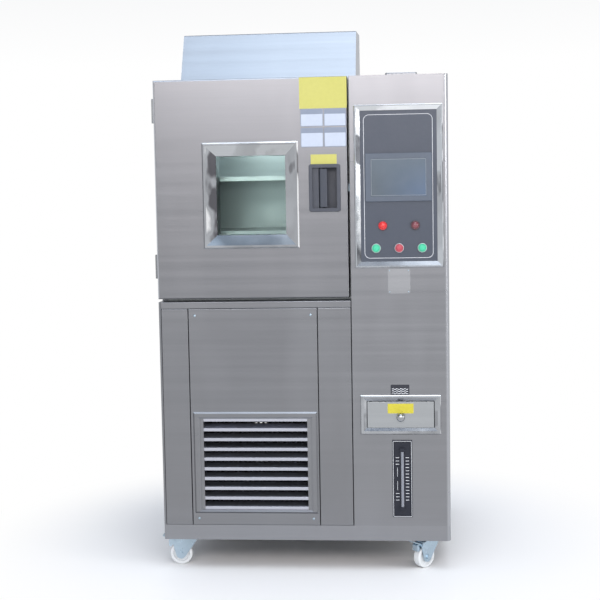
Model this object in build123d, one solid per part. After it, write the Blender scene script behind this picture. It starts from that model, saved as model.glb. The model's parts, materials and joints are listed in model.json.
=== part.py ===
from build123d import *
import math
import os

# Environmental test chamber on casters: an insulated chamber with a windowed door on the left, a control
# column on the right, a machine room with a louvre grille below and a motor hood on the top.
# Millimetres. +Z is up and the floor is Z 0. The front faces -Y and +X is to the right.
# The origin is on the floor, under the middle of the cabinet. Depths are measured from the front plane.

# Overall sizes
cabinet_width = 950.0
cabinet_depth = 930.0
cabinet_top = 1615.0
caster_height = 102.0
skirt_height = 50.0
sheet = 1.5
seam = 2.0
panel_return = 20.0
base_wall = 3.0
base_flange = 40.0
base_gusset = 130.0
left_corner_radius = 8.0
right_corner_radius = 16.0

# Door and chamber
door_width = 629.0
door_bottom = 905.0
door_thickness = 60.0
door_edge_radius = 6.0
door_to_column = 5.0
gasket_depth = 14.0
gasket_width = 24.0
gasket_inset = 10.0
gasket_gap = 0.3
chamber_walls = (113.0, 116.0)
chamber_height = 500.0
chamber_depth = 400.0
duct_depth = 240.0
chamber_bottom = 990.0
chamber_corner_radius = 5.0
plug_corner_radius = 15.0
insulation_behind = 100.0
plug_clearance = 8.0
plug_depth = 28.0
window_inset = 43.5
window_height = 343.0
window_border = 43.5
window_glass_height = 256.0
window_rim = 12.0
window_rise = 6.0
window_sink = 14.0
window_bevel = 33.0
pane = 4.0
pane_margin = 10.0
fit_gap = 0.3

# Chamber fittings
shelf_levels = (1120.0, 1300.0)
shelf_sheet = 2.0
rail_leg = 18.0
port_radius = 25.0
port_wall = 3.0
port_depth = 300.0
port_level = 1240.0
spout_radius = 10.0
spout_wall = 2.0
spout_reach = 30.0
spout_from_middle = 102.0
drain_radius = 13.0
drain_stand_out = 2.0
baffle_slots = 7
evaporator_fins = 15

# Motor hood and circulation fan
hood_width = 634.0
hood_front_bottom = 480.0
hood_front_top = 590.0
hood_back_top = 885.0
hood_back_bottom = 905.0
hood_height = 214.0
hood_slope_rise = 20.0
motor_radius = 52.0
motor_height = 100.0
shaft_radius = 7.0
shaft_hole_radius = 20.0
impeller_radius = 95.0
impeller_height = 70.0
impeller_blades = 18
running_gap = 0.05

# Handle, latch and hinges
handle_from_edge = 75.0
handle_level = 1260.0
handle_width = 102.0
handle_height = 153.0
handle_rise = 5.0
handle_body_depth = 32.0
pocket_rim = 11.5
ledge_width = 20.0
lever_from_ledge = 8.5
lever_axis_depth = 5.0
lever_hub_radius = 6.0
lever_tip_radius = 3.0
lever_reach = 16.0
lever_end_gap = 4.0
lever_pin_radius = 3.0
bolt_height = 24.0
bolt_thickness = 10.0
bolt_depth = 35.0
bolt_throw = 16.0
strike_thickness = 3.0
strike_height = 90.0
hinge_levels = (1008.0, 1520.5)
hinge_height = 78.0
hinge_leaf = 3.0
hinge_leaf_width = 36.0
hinge_barrel_radius = 8.0
hinge_axis_out = 11.5
hinge_axis_depth = 68.0
hinge_pin_radius = 4.0
hinge_gap = 0.4

# Lower front
rail_height = 22.0
left_stile_width = 97.0
right_stile_width = 108.0
panel_fold = 15.0
panel_edge_radius = 2.0
grille_margins = (8.0, 4.0)
grille_bottom = 192.0
grille_top = 531.0
grille_border = 22.5
louvre_bottom = 203.5
louvre_top = 508.5
grille_rise = 6.0
side_strip = 11.0
blade_count = 10
blade_nose = 10.0
blade_run = 26.0
blade_lift = 13.0
blade_sheet = 1.5

# Control column
control_shift = -1.0
control_level = 1262.0
control_width = 283.0
control_height = 519.0
panel_width = 245.0
panel_height = 483.0
frame_rise = 10.0
panel_thickness = 2.0
controller_level = 1290.0
controller_width = 213.0
controller_height = 154.0
controller_rise = 5.0
controller_body_depth = 45.0
controller_lip = 4.0
screen_width = 178.0
screen_height = 121.0
screen_sink = 2.0
lamp_level = 1136.0
lamp_spacing = 104.0
button_level = 1063.5
button_spacing = 74.0
collar_radius = 15.0
collar_rise = 5.0
collar_floor = 8.0
barrel_radius = 11.0
barrel_depth = 35.0
cap_radius = 10.2
cap_rise = 9.0
stem_radius = 6.0
button_travel = 3.0

# Water drawer, gauge and tank
drawer_shift = -2.0
drawer_level = 521.5
drawer_frame_width = 260.0
drawer_frame_height = 128.0
drawer_width = 216.0
drawer_height = 86.0
drawer_gap = 2.0
drawer_length = 160.0
funnel_depth = 120.0
sleeve_length = 190.0
frame_lip = 8.0
tray_wall = 1.5
knob_radius = 13.0
knob_reach = 25.0
knob_drop = 7.5
gauge_shift = 2.0
gauge_bottom = 182.5
gauge_top = 437.0
gauge_width = 64.5
gauge_rise = 6.0
tube_radius = 4.75
tube_bottom = 218.5
tube_top = 400.0
tank_width = 285.0
tank_height = 278.0
tank_depth = 250.0
tank_front = 80.0
tank_wall = 4.0

# Refrigeration and electrics
compressor_radius = 85.0
compressor_height = 235.0
compressor_shift = 2.5
compressor_depth = 560.0
condenser_width = 356.0
condenser_height = 330.0
condenser_front = 60.0
condenser_thickness = 70.0
condenser_fins = 22
fan_radius = 122.0
fan_blades = 5
gland_radius = 12.0
gland_from_right = 175.0
gland_level = 300.0

# Casters
wheel_radius = 37.5
wheel_width = 25.0
wheel_offset = 25.0
caster_inset = 70.0
tread_radius = 4.0
hub_plate_radius = 17.0
axle_radius = 4.0
fork_gap = 30.0
fork_sheet = 2.5
plate_length = 95.0
plate_width = 67.0
plate_sheet = 2.5
cup_radius = 28.0
cup_height = 7.7
kingpin_radius = 5.0
brake_pivot = (-22.0, 42.0)
brake_pin_radius = 2.5
shoe_gap = 3.5
pedal_reach = 62.0
pedal_width = 28.0
right_caster_turn = 45.0

# Places worked out from the sizes above
left = -cabinet_width / 2
right = cabinet_width / 2
front = -cabinet_depth / 2
base_top = caster_height + skirt_height
under_cover = cabinet_top - sheet
rail_top = door_bottom - 10.0
body_face = door_thickness + gasket_depth
door_right = left + door_width
column_left = door_right + door_to_column
column_x = (column_left + right) / 2
chamber_left = left + chamber_walls[0]
chamber_right = door_right - chamber_walls[1]
chamber_width = chamber_right - chamber_left
chamber_x = (chamber_left + chamber_right) / 2
chamber_top = chamber_bottom + chamber_height
chamber_level = chamber_bottom + chamber_height / 2
baffle_depth = body_face + chamber_depth + 6.0
liner_back = baffle_depth + duct_depth
insulation_back = liner_back + insulation_behind
fan_depth = baffle_depth + duct_depth / 2
window_width = chamber_width - 2 * window_inset
window_glass_width = window_width - 2 * window_border
spout_x = chamber_x + spout_from_middle
handle_x = door_right - handle_from_edge
pocket_width = handle_width - 2 * pocket_rim
pocket_height = handle_height - 2 * pocket_rim
lever_axis_x = handle_x - pocket_width / 2 + ledge_width + lever_from_ledge
lever_length = pocket_height - 2 * lever_end_gap
hinge_x = left - hinge_axis_out
machine_panel_left = left + left_stile_width + seam
machine_panel_right = column_left - right_stile_width - 2 * seam
grille_left = machine_panel_left + grille_margins[0]
grille_right = machine_panel_right - grille_margins[1]
grille_width = grille_right - grille_left
grille_x = (grille_left + grille_right) / 2
louvre_width = grille_width - 2 * grille_border
compressor_x = grille_x + compressor_shift
control_x = column_x + control_shift
drawer_x = column_x + drawer_shift
gauge_x = column_x + gauge_shift
gland_x = right - gland_from_right
control_face = -panel_thickness
bezel_face = control_face - controller_rise
fan_level = base_top + condenser_height / 2 + 20.0
shroud_back = condenser_front + condenser_thickness + 30.0


def span(middle, size):
    return (middle - size / 2, middle + size / 2)


def grown(pair, by):
    return (pair[0] - by, pair[1] + by)


def block(x, depth, z):
    """A box between two places along X, in depth behind the front plane, and in height."""
    middle = Pos(sum(x) / 2, front + sum(depth) / 2, sum(z) / 2)
    return middle * Box(x[1] - x[0], depth[1] - depth[0], z[1] - z[0])


def rod_y(x, z, radius, depth):
    return Pos(x, front + sum(depth) / 2, z) * Rot(90, 0, 0) * Cylinder(radius, depth[1] - depth[0])


def rod_z(x, depth, radius, z):
    return Pos(x, front + depth, sum(z) / 2) * Cylinder(radius, z[1] - z[0])


def rod_x(depth, z, radius, x):
    return Pos(sum(x) / 2, front + depth, z) * Rot(0, 90, 0) * Cylinder(radius, x[1] - x[0])


def front_edges(solid):
    return solid.faces().sort_by(Axis.Y)[0].edges()


def upright_edge(solid, at_left, at_front):
    """The vertical edge of a block at one of its four corners."""
    pair = solid.edges().filter_by(Axis.Z).group_by(Axis.X)[0 if at_left else -1]
    return pair.sort_by(Axis.Y)[0 if at_front else -1]


def folded_pan(x, z, depth, radius):
    """A sheet panel with its four edges folded back, open at the rear."""
    outer = block(x, depth, z)
    outer = fillet(front_edges(outer), radius)
    return outer - block(grown(x, -sheet), (depth[0] + sheet, depth[1] + 1), grown(z, -sheet))


def funnel(x, z, depth, run):
    """A hole that narrows evenly to its full depth, where it has the given size."""
    near = Plane.XZ.offset(-front - depth[0]) * Pos(sum(x) / 2, sum(z) / 2)
    far = Plane.XZ.offset(-front - depth[1]) * Pos(sum(x) / 2, sum(z) / 2)
    width = x[1] - x[0]
    height = z[1] - z[0]
    wide = near * Rectangle(width + 2 * run, height + 2 * run)
    narrow = far * Rectangle(width, height)
    return loft([wide.face(), narrow.face()])


def bevelled_ring(outer_x, outer_z, inner_x, inner_z, depth, outer_bevel, inner_bevel):
    """A frame whose front slopes up from its outside edge and down to its opening."""
    rise, run = inner_bevel
    plate = chamfer(front_edges(block(outer_x, depth, outer_z)), outer_bevel)
    plate -= funnel(inner_x, inner_z, (depth[0], depth[0] + rise), run)
    return plate - block(inner_x, (depth[0] - 1, depth[1] + 1), inner_z)


# Cabinet shell


def rounded(solid, at_left, radius):
    """A block with both vertical edges of one side rounded."""
    return fillet([upright_edge(solid, at_left, at_front) for at_front in (True, False)], radius)


def base_frame():
    """Welded base: a skirt of folded channel, a closed deck, cross channels and corner plates."""
    z = (caster_height, base_top)
    outer = rounded(block((left, right), (0, cabinet_depth), z), True, left_corner_radius)
    outer = rounded(outer, False, right_corner_radius)
    inside_x = grown((left, right), -base_wall)
    inside_depth = grown((0, cabinet_depth), -base_wall)
    frame = outer - block(inside_x, inside_depth, grown(z, -base_wall))
    floor_z = (caster_height - 1, caster_height + base_wall)
    mouth = block(grown(inside_x, -base_flange), grown(inside_depth, -base_flange), floor_z)
    for x in (left, right):
        for depth in (0, cabinet_depth):
            mouth -= block(span(x, 2 * base_gusset), span(depth, 2 * base_gusset), grown(floor_z, 1))
    frame -= mouth
    for share in (1 / 3, 2 / 3):
        middle = cabinet_depth * share
        hollow_z = (caster_height, base_top - 2 * base_wall)
        channel = block(inside_x, span(middle, 40), (caster_height + base_wall, base_top - base_wall))
        frame += channel - block(inside_x, span(middle, 40 - 2 * base_wall), hollow_z)
    return frame


def left_side_panel():
    """Side sheet wrapped round the lower front corner and stepped back behind the door above it."""
    corner_return = 8.0
    parts = []
    for start, z in ((0, (base_top, rail_top)), (body_face, (rail_top, under_cover))):
        x = (left, left + panel_return)
        outer = block(x, (start, cabinet_depth), z)
        inner = block((left + sheet, x[1] + 1), (start + sheet, cabinet_depth - sheet), z)
        outer = fillet([upright_edge(outer, True, False)], left_corner_radius)
        inner = fillet([upright_edge(inner, True, False)], left_corner_radius - sheet)
        if start == 0:
            outer = fillet([upright_edge(outer, True, True)], left_corner_radius)
            inner = fillet([upright_edge(inner, True, True)], left_corner_radius - sheet)
            inner += block((left + corner_return, x[1] + 1), (-1, panel_return), z)
        parts.append(outer - inner)
    panel = parts[0] + parts[1]
    return panel - rod_x(port_depth, port_level, port_radius + port_wall + fit_gap, (left - 5, left + 5))


def right_side_panel():
    x = (right - panel_return, right)
    start = front_wrap + 1.0
    outer = block(x, (start, cabinet_depth), (base_top, under_cover))
    inner = block((x[0] - 1, right - sheet), (start - 1, cabinet_depth - sheet), (base_top, under_cover))
    outer = fillet([upright_edge(outer, False, False)], right_corner_radius)
    inner = fillet([upright_edge(inner, False, False)], right_corner_radius - sheet)
    return outer - inner


def rear_panel():
    """Rear sheet with two fields of vent slots for the machine room."""
    x = grown((left, right), -panel_return - 0.5)
    panel = block(x, (cabinet_depth - sheet, cabinet_depth), (base_top, under_cover))
    slot = Plane.XZ * SlotOverall(150, 10)
    cutter = extrude(slot, amount=4, both=True)
    for slot_x in (left + 215.0, left + 415.0):
        for row in range(8):
            panel -= Pos(slot_x, front + cabinet_depth, 260.0 + 30.0 * row) * cutter
    through = (cabinet_depth - 5, cabinet_depth + 5)
    panel -= rod_y(spout_x, spout_level, drain_radius + fit_gap, through)
    return panel - rod_y(gland_x, gland_level, gland_radius + fit_gap, through)


def top_cover():
    cover = block((left, right), (0, cabinet_depth), (under_cover, cabinet_top))
    cover = fillet([upright_edge(cover, True, False)], left_corner_radius)
    cover = rounded(cover, False, right_corner_radius)
    cover -= block((left - 1, column_left), (-1, body_face), (under_cover - 1, cabinet_top + 1))
    return cover - rod_z(chamber_x, fan_depth, shaft_hole_radius, (under_cover - 1, cabinet_top + 1))


def lower_front_frame():
    """Chamber deck with its turned-down sill rail, and the two stiles welded under the rail."""
    deck_x = (left + sheet, column_left - seam)
    deck = block(deck_x, (left_corner_radius, insulation_back), (rail_top - sheet, rail_top))
    rail_x = (left + left_corner_radius + 1, column_left - seam)
    rail_z = (rail_top - rail_height, rail_top)
    rail = fillet(front_edges(block(rail_x, (0, 20.0), rail_z)).filter_by(Axis.X), panel_edge_radius)
    rail -= block(grown(rail_x, 1), (sheet, 21.0), grown(rail_z, -sheet))
    frame = deck + rail
    left_x = (rail_x[0], machine_panel_x[0] - seam)
    right_x = (machine_panel_x[1] + seam, rail_x[1])
    for x in (left_x, right_x):
        frame += folded_pan(x, panel_z, (0, panel_fold), panel_edge_radius)
        joint_z = (panel_z[1] - sheet, rail_z[0] + sheet)
        frame += block(grown(x, -panel_edge_radius), (4.0, panel_fold), joint_z)
    return frame


def machine_room_panel():
    """Removable front panel with the grille opening and four screw holes."""
    x = machine_panel_x
    z = panel_z
    panel = folded_pan(x, z, (0, panel_fold), panel_edge_radius)
    opening_x = grown(span(grille_x, louvre_width), 2.0)
    panel -= block(opening_x, (-1, 5), grown((louvre_bottom, louvre_top), 2.0))
    for screw_x in grown(x, -21.0):
        for screw_z in grown(z, -22.0):
            panel -= rod_y(screw_x, screw_z, 3.0, (-1, 5))
    return panel


def grille_frame():
    """Raised bevelled frame with a deep return and, at each end, the channel that carries the blades."""
    opening_x = span(grille_x, louvre_width)
    opening_z = (louvre_bottom, louvre_top)
    outer_x = span(grille_x, grille_width)
    outer_z = (grille_bottom, grille_top)
    frame = bevelled_ring(outer_x, outer_z, opening_x, opening_z, (-grille_rise, 0), 5.0, (4.0, 6.0))
    collar = block(grown(opening_x, 1.5), (-1, 34.0), grown(opening_z, 1.5))
    frame += collar - block(opening_x, (-2, 35), opening_z)
    for edge, inward in ((opening_x[0], 1), (opening_x[1], -1)):
        strip = sorted((edge, edge + inward * side_strip))
        wall = sorted((edge + inward * (side_strip - sheet), edge + inward * side_strip))
        frame += block(strip, (0, sheet), opening_z) + block(wall, (0, 32.0), opening_z)
    return frame


def louvre_blades():
    """Folded blades: a rounded nose, a slope up and back, and a short stiffening lip at the rear."""
    opening_x = span(grille_x, louvre_width)
    length = louvre_width - 2 * side_strip
    pitch = (louvre_top - louvre_bottom - blade_nose) / (blade_count - 1)
    t = blade_sheet
    rear = blade_nose + blade_lift
    outline = Polyline((0, 0), (0, blade_nose), (3, blade_nose + 1.5), (blade_run, rear),
                       (blade_run, rear - t), (3 + t / 2, blade_nose - t / 2),
                       (t, blade_nose - 2 * t), (t, 0), close=True)
    section = make_face(outline)
    blade = extrude(Plane.YZ * section, amount=length)
    nose = blade.edges().filter_by(Axis.X).sort_by(Axis.Y)[:2]
    blade = fillet(nose, 0.6)
    blades = []
    for row in range(blade_count - 1):
        blades.append(Pos(opening_x[0] + side_strip, front + 2.0, louvre_bottom + row * pitch) * blade)
    lip_z = (louvre_top - blade_nose, louvre_top)
    top_lip = block(grown(opening_x, -side_strip), (2.0, 24.0), lip_z)
    top_lip -= block(grown(opening_x, 1), (2.0 + t, 25.0), (lip_z[0] - 1, lip_z[1] - t))
    return blades + [fillet(front_edges(top_lip).filter_by(Axis.X), 0.6)]


def column_front_panel():
    """Front sheet of the control column, rolled round the right corner and folded back beside the door."""
    z = (base_top, under_cover)
    outer = block((column_left, right), (0, body_face), z)
    outer = fillet([upright_edge(outer, False, True)], right_corner_radius)
    outer = fillet([upright_edge(outer, True, True)], panel_edge_radius)
    inner = block((column_left + sheet, right - sheet), (sheet, body_face + 1), z)
    inner = fillet([upright_edge(inner, False, True)], right_corner_radius - sheet)
    panel = outer - inner - block((right - 5, right + 1), (front_wrap, body_face + 1), z)
    panel -= block(span(control_x, panel_width - 24), (-1, 5), span(control_level, panel_height - 24))
    panel -= block(grown(sleeve_x, tray_wall), (-1, 5), grown(sleeve_z, tray_wall))
    panel -= block(span(gauge_x, gauge_width - 24), (-1, 5), grown((gauge_bottom, gauge_top), -12))
    return panel - block((column_left - 1, column_left + 5), grown(bolt_span, 2.0), grown(bolt_z, 2.0))


# Control panel


def control_frame():
    outer_x = span(control_x, control_width)
    outer_z = span(control_level, control_height)
    inner_x = span(control_x, panel_width)
    inner_z = span(control_level, panel_height)
    return bevelled_ring(outer_x, outer_z, inner_x, inner_z, (-frame_rise, 0), 2.0, (7.0, 13.0))


def control_panel():
    x = span(control_x, panel_width - 0.4)
    plate = block(x, (control_face, 0), span(control_level, panel_height - 0.4))
    hole_z = span(controller_level, controller_height - 6)
    plate -= block(span(control_x, controller_width - 6), (-5, 5), hole_z)
    for hole_x, hole_level in lamp_places + button_places:
        plate -= rod_y(hole_x, hole_level, barrel_radius + fit_gap, (-5, 5))
    return plate


def controller_bezel():
    """Touch controller: a bezel with a sunk screen seat, and the housing behind the panel."""
    x = span(control_x, controller_width)
    z = span(controller_level, controller_height)
    bezel = block(x, (bezel_face, control_face), z)
    bezel = fillet(bezel.edges().filter_by(Axis.Y), controller_lip)
    bezel = chamfer(front_edges(bezel), 1.5)
    housing_depth = (control_face, controller_body_depth)
    bezel += block(grown(x, -controller_lip), housing_depth, grown(z, -controller_lip))
    seat_z = span(controller_level, screen_height)
    return bezel - block(span(control_x, screen_width), (bezel_face - 1, bezel_face + screen_sink), seat_z)


def touch_screen():
    x = grown(span(control_x, screen_width), -fit_gap)
    z = grown(span(controller_level, screen_height), -fit_gap)
    return block(x, (bezel_face + 0.4, bezel_face + screen_sink), z)


def collar():
    """Ring and threaded barrel of a lamp or a button, turned about Y with its panel seat at Y 0."""
    mouth = cap_radius + fit_gap
    bore = stem_radius + fit_gap
    outline = Polyline((mouth, -collar_rise), (collar_radius - 1.5, -collar_rise),
                       (collar_radius, 1.5 - collar_rise), (collar_radius, 0), (barrel_radius, 0),
                       (barrel_radius, barrel_depth), (bore, barrel_depth),
                       (bore, collar_floor), (mouth, collar_floor), close=True)
    return revolve(make_face(outline), Axis.Y)


def button_collars():
    return [Pos(x, front + control_face, z) * collar() for x, z in lamp_places + button_places]


def button(x, z):
    """Domed cap on a stem that slides in the collar."""
    top = -cap_rise
    under_cap = collar_floor - button_travel - 0.5
    stem_end = barrel_depth - button_travel - 2
    edge = Line((0, top), (cap_radius - 2.5, top + 0.6))
    curve = ThreePointArc(edge @ 1, (cap_radius - 0.7, top + 1.4), (cap_radius, top + 3.2))
    rest = Polyline(curve @ 1, (cap_radius, under_cap), (stem_radius, under_cap), (stem_radius, stem_end),
                    (0, stem_end), (0, top))
    return Pos(x, front + control_face, z) * revolve(make_face([edge, curve, rest]), Axis.Y)


def indicator_lamps():
    """Two domed lenses seated in their collars."""
    lenses = []
    for x, z in lamp_places:
        radius = cap_radius + fit_gap - 0.02
        dome = ThreePointArc((0, -10.0), (radius * 0.66, -8.7), (radius, -5.0))
        rest = Polyline((radius, -5.0), (radius, collar_floor), (0, collar_floor), (0, -10.0))
        lenses.append(Pos(x, front + control_face, z) * revolve(make_face([dome, rest]), Axis.Y))
    return lenses


# Water drawer, level gauge and tank


def drawer_frame():
    """Bevelled frame with the guide sleeve that carries the drawer."""
    frame = bevelled_ring(span(drawer_x, drawer_frame_width), span(drawer_level, drawer_frame_height),
                          sleeve_x, sleeve_z, (-frame_lip, 0), 2.0, (6.0, 10.0))
    sleeve = block(grown(sleeve_x, tray_wall), (-1, sleeve_length), grown(sleeve_z, tray_wall))
    return frame + (sleeve - block(sleeve_x, (-2, sleeve_length + 1), sleeve_z))


def fill_drawer():
    """Drawer front with an open filling tray and a funnel outlet in its floor."""
    x = span(drawer_x, drawer_width)
    z = span(drawer_level, drawer_height)
    face = fillet(front_edges(block(x, (-4, -1), z)), 1.0)
    tray = block(x, (-1, drawer_length), (z[0], z[1] - 12))
    hollow_depth = (tray_wall, drawer_length - tray_wall)
    tray -= block(grown(x, -tray_wall), hollow_depth, (z[0] + tray_wall, z[1]))
    return face + tray - rod_z(drawer_x, funnel_depth, 12.0, (z[0] - 1, z[0] + 5))


def drawer_knob():
    """Turned knob: a slim neck that opens into a domed head."""
    tip = -4 - knob_reach
    neck = Polyline((0, -4), (8.0, -4), (7.0, -6), (5.5, -12))
    flare = Bezier((5.5, -12), (5.5, -17), (9.0, -18), (knob_radius, -18.5))
    head = Bezier((knob_radius, -18.5), (knob_radius + 1, -24), (knob_radius * 0.6, tip), (0, tip))
    profile = make_face([neck, flare, head, Line((0, tip), (0, -4))])
    return Pos(drawer_x, front, drawer_level - knob_drop) * revolve(profile, Axis.Y)


def gauge_frame():
    """Gauge body with a sunk scale plate and an end fitting above and below the sight tube."""
    x = span(gauge_x, gauge_width)
    z = (gauge_bottom, gauge_top)
    body = chamfer(front_edges(block(x, (-gauge_rise, 0), z)), 1.5)
    body -= block(grown(x, -5), (-gauge_rise - 1, -gauge_rise + 2.5), grown(z, -5))
    body += block(grown(x, -14), (0, 8.0), grown(z, -14))
    for end in ((tube_bottom - 12, tube_bottom), (tube_top, tube_top + 12)):
        body += block(span(gauge_x, 15), (-gauge_rise - 5, -gauge_rise + 3), end)
    return body


def gauge_tube():
    """Sight tube between the two end fittings."""
    depth = -gauge_rise + 2.5 - tube_radius - fit_gap
    tube = rod_z(gauge_x, depth, tube_radius, (tube_bottom, tube_top))
    return tube - rod_z(gauge_x, depth, tube_radius - 1.2, (tube_bottom + 3, tube_top - 3))


def water_tank():
    """Closed tank on the deck with a fill neck, joined to the gauge by a level pipe."""
    x = span(gauge_x, tank_width)
    depth = (tank_front, tank_front + tank_depth)
    z = (base_top, base_top + tank_height)
    tank = fillet(block(x, depth, z).edges().filter_by(Axis.Z), 20.0)
    tank -= block(grown(x, -tank_wall - 4), grown(depth, -tank_wall - 4), grown(z, -tank_wall))
    tank += rod_z(drawer_x, funnel_depth, 24.0, (z[1] - 1, sleeve_z[0] - tray_wall - 4))
    tank -= rod_z(drawer_x, funnel_depth, 20.0, (z[1] - 10, sleeve_z[0]))
    return tank + rod_y(gauge_x, tube_bottom, 6.0, (8.0, tank_front + 1))


# Motor hood and air circulation


def hood_outline(inset):
    """Side outline of the hood: the front leans back and the top rises a little to the rear."""
    brow = cabinet_top + hood_height
    outline = Polyline((front + hood_front_bottom, cabinet_top), (front + hood_front_top, brow),
                       (front + hood_back_top, brow + hood_slope_rise),
                       (front + hood_back_bottom, cabinet_top), close=True)
    face = make_face(outline)
    corners = face.vertices().sort_by(Axis.Y)[1:3]
    face = fillet(corners, 8.0)
    if inset:
        face = offset(face, -inset)
        face += Pos(0, -inset - 2) * face
    return face


def motor_hood():
    """Sheet hood over the circulation motor, with cooling slots in its rear face."""
    x = (left + 3.0, left + 3.0 + hood_width)
    outer = Pos(x[0], 0, 0) * extrude(Plane.YZ * hood_outline(0), amount=hood_width)
    inner = Pos(x[0] + sheet, 0, 0) * extrude(Plane.YZ * hood_outline(sheet), amount=hood_width - 2 * sheet)
    hood = outer - inner
    slot = extrude(Plane.XZ * SlotOverall(120, 8), amount=30, both=True)
    for column in (-1, 0, 1):
        for row in range(5):
            place = Pos(sum(x) / 2 + 170 * column, front + hood_back_top, cabinet_top + 60 + 24 * row)
            hood -= place * slot
    return hood


def circulation_motor():
    """Finned motor on its flange, with a terminal box."""
    z = cabinet_top
    motor = block(span(chamber_x, 124), span(fan_depth, 124), (z, z + 6))
    motor += rod_z(chamber_x, fan_depth, motor_radius - 5, (z + 6, z + motor_height))
    for fin in range(8):
        motor += rod_z(chamber_x, fan_depth, motor_radius, (z + 14 + 9 * fin, z + 17 + 9 * fin))
    motor += block((chamber_x + 40, chamber_x + 78), span(fan_depth, 50), (z + 6, z + 60))
    motor += rod_z(chamber_x, fan_depth, 30.0, (z + motor_height, z + motor_height + 8))
    return motor - rod_z(chamber_x, fan_depth, shaft_radius + running_gap, (z - 1, z + 61))


def circulation_fan():
    """Motor shaft with the centrifugal impeller that hangs in the air duct."""
    top = chamber_top - 12
    fan = rod_z(chamber_x, fan_depth, shaft_radius, (top - 40, cabinet_top + 60))
    fan += rod_z(chamber_x, fan_depth, 18.0, (top - 30, top))
    fan += rod_z(chamber_x, fan_depth, impeller_radius, (top - 3, top))
    ring = rod_z(chamber_x, fan_depth, impeller_radius, (top - impeller_height, top - impeller_height + 3))
    fan += ring - rod_z(chamber_x, fan_depth, impeller_radius - 26, (top - impeller_height - 1, top))
    blade = Pos(impeller_radius - 13, 0, 0) * Rot(0, 0, 35) * Box(24, 1.6, impeller_height - 5)
    middle = Pos(chamber_x, front + fan_depth, top - impeller_height / 2)
    for turn in range(impeller_blades):
        fan += middle * Rot(0, 0, turn * 360 / impeller_blades) * blade
    return fan


# Chamber


def liner_block(wall):
    """The chamber's inside, grown by a wall, with rounded long edges."""
    x = grown((chamber_left, chamber_right), wall)
    z = grown((chamber_bottom, chamber_top), wall)
    solid = block(x, (body_face, liner_back + wall), z)
    return fillet(solid.edges().filter_by(Axis.Y), chamber_corner_radius + wall)


def inner_liner():
    """Welded stainless liner with the front flange that the gasket meets."""
    flange_x = (left + panel_return + 0.5, column_left - seam)
    liner = liner_block(sheet)
    liner += block(flange_x, (body_face, body_face + sheet), (rail_top, under_cover))
    liner -= liner_block(0)
    liner -= rod_y(spout_x, spout_level, drain_radius + fit_gap, (liner_back - 1, liner_back + 5))
    liner -= rod_z(chamber_x, fan_depth, shaft_hole_radius, (chamber_top - 1, chamber_top + 5))
    port_hole = port_radius + port_wall + fit_gap
    return liner - rod_x(port_depth, port_level, port_hole, (chamber_left - 5, chamber_left + 5))


def chamber_insulation():
    """Five foam boards round the liner: one at each side, one below, one above and one behind."""
    liner_x = grown((chamber_left, chamber_right), sheet)
    liner_z = grown((chamber_bottom, chamber_top), sheet)
    depth = (body_face + sheet, insulation_back)
    z = (rail_top, under_cover)
    left_board = block((left + sheet, liner_x[0]), depth, z)
    left_board -= rod_x(port_depth, port_level, port_radius + port_wall, (left, chamber_left))
    right_board = block((liner_x[1], column_left - seam), depth, z)
    lower_board = block(liner_x, depth, (z[0], liner_z[0]))
    upper_board = block(liner_x, depth, (liner_z[1], z[1]))
    upper_board -= rod_z(chamber_x, fan_depth, shaft_hole_radius, grown((liner_z[1], z[1]), 1))
    rear_board = block(liner_x, (liner_back + sheet, insulation_back), liner_z)
    rear_board -= rod_y(spout_x, spout_level, drain_radius, (liner_back, insulation_back + 1))
    return [left_board, right_board, lower_board, upper_board, rear_board]


def chamber_ports():
    """Cable sleeve through the left wall, flanged at both ends, and the drain pipe to the rear."""
    tube = rod_x(port_depth, port_level, port_radius + port_wall, (left - 6, chamber_left + 2))
    tube += rod_x(port_depth, port_level, port_radius + 15, (left - 6, left))
    tube += rod_x(port_depth, port_level, port_radius + 10, (chamber_left, chamber_left + 2))
    tube -= rod_x(port_depth, port_level, port_radius, (left - 7, chamber_left + 3))
    shoulder = cabinet_depth + drain_stand_out
    tip = shoulder + spout_reach
    drain = rod_y(spout_x, spout_level, drain_radius, (liner_back, shoulder))
    drain += rod_y(spout_x, spout_level, spout_radius, (shoulder, tip))
    return [tube, drain - rod_y(spout_x, spout_level, spout_radius - spout_wall, (liner_back - 1, tip + 1))]


def air_baffle():
    """Rear wall of the working space, slotted above for supply air and below for return air."""
    z = (chamber_bottom + 25, chamber_top - 25)
    x = (chamber_left, chamber_right)
    baffle = block(x, (baffle_depth, baffle_depth + 20), z)
    baffle -= block(grown(x, -sheet), (baffle_depth + sheet, baffle_depth + 21), z)
    slot = extrude(Plane.XZ * SlotOverall(60, 9).rotate(Axis.Z, 90), amount=5, both=True)
    for column in range(baffle_slots):
        slot_x = chamber_x + (column - (baffle_slots - 1) / 2) * (chamber_width - 16) / (baffle_slots + 1)
        for level in (z[0] + 55, z[1] - 55):
            baffle -= Pos(slot_x, front + baffle_depth, level) * slot
    return baffle


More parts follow.
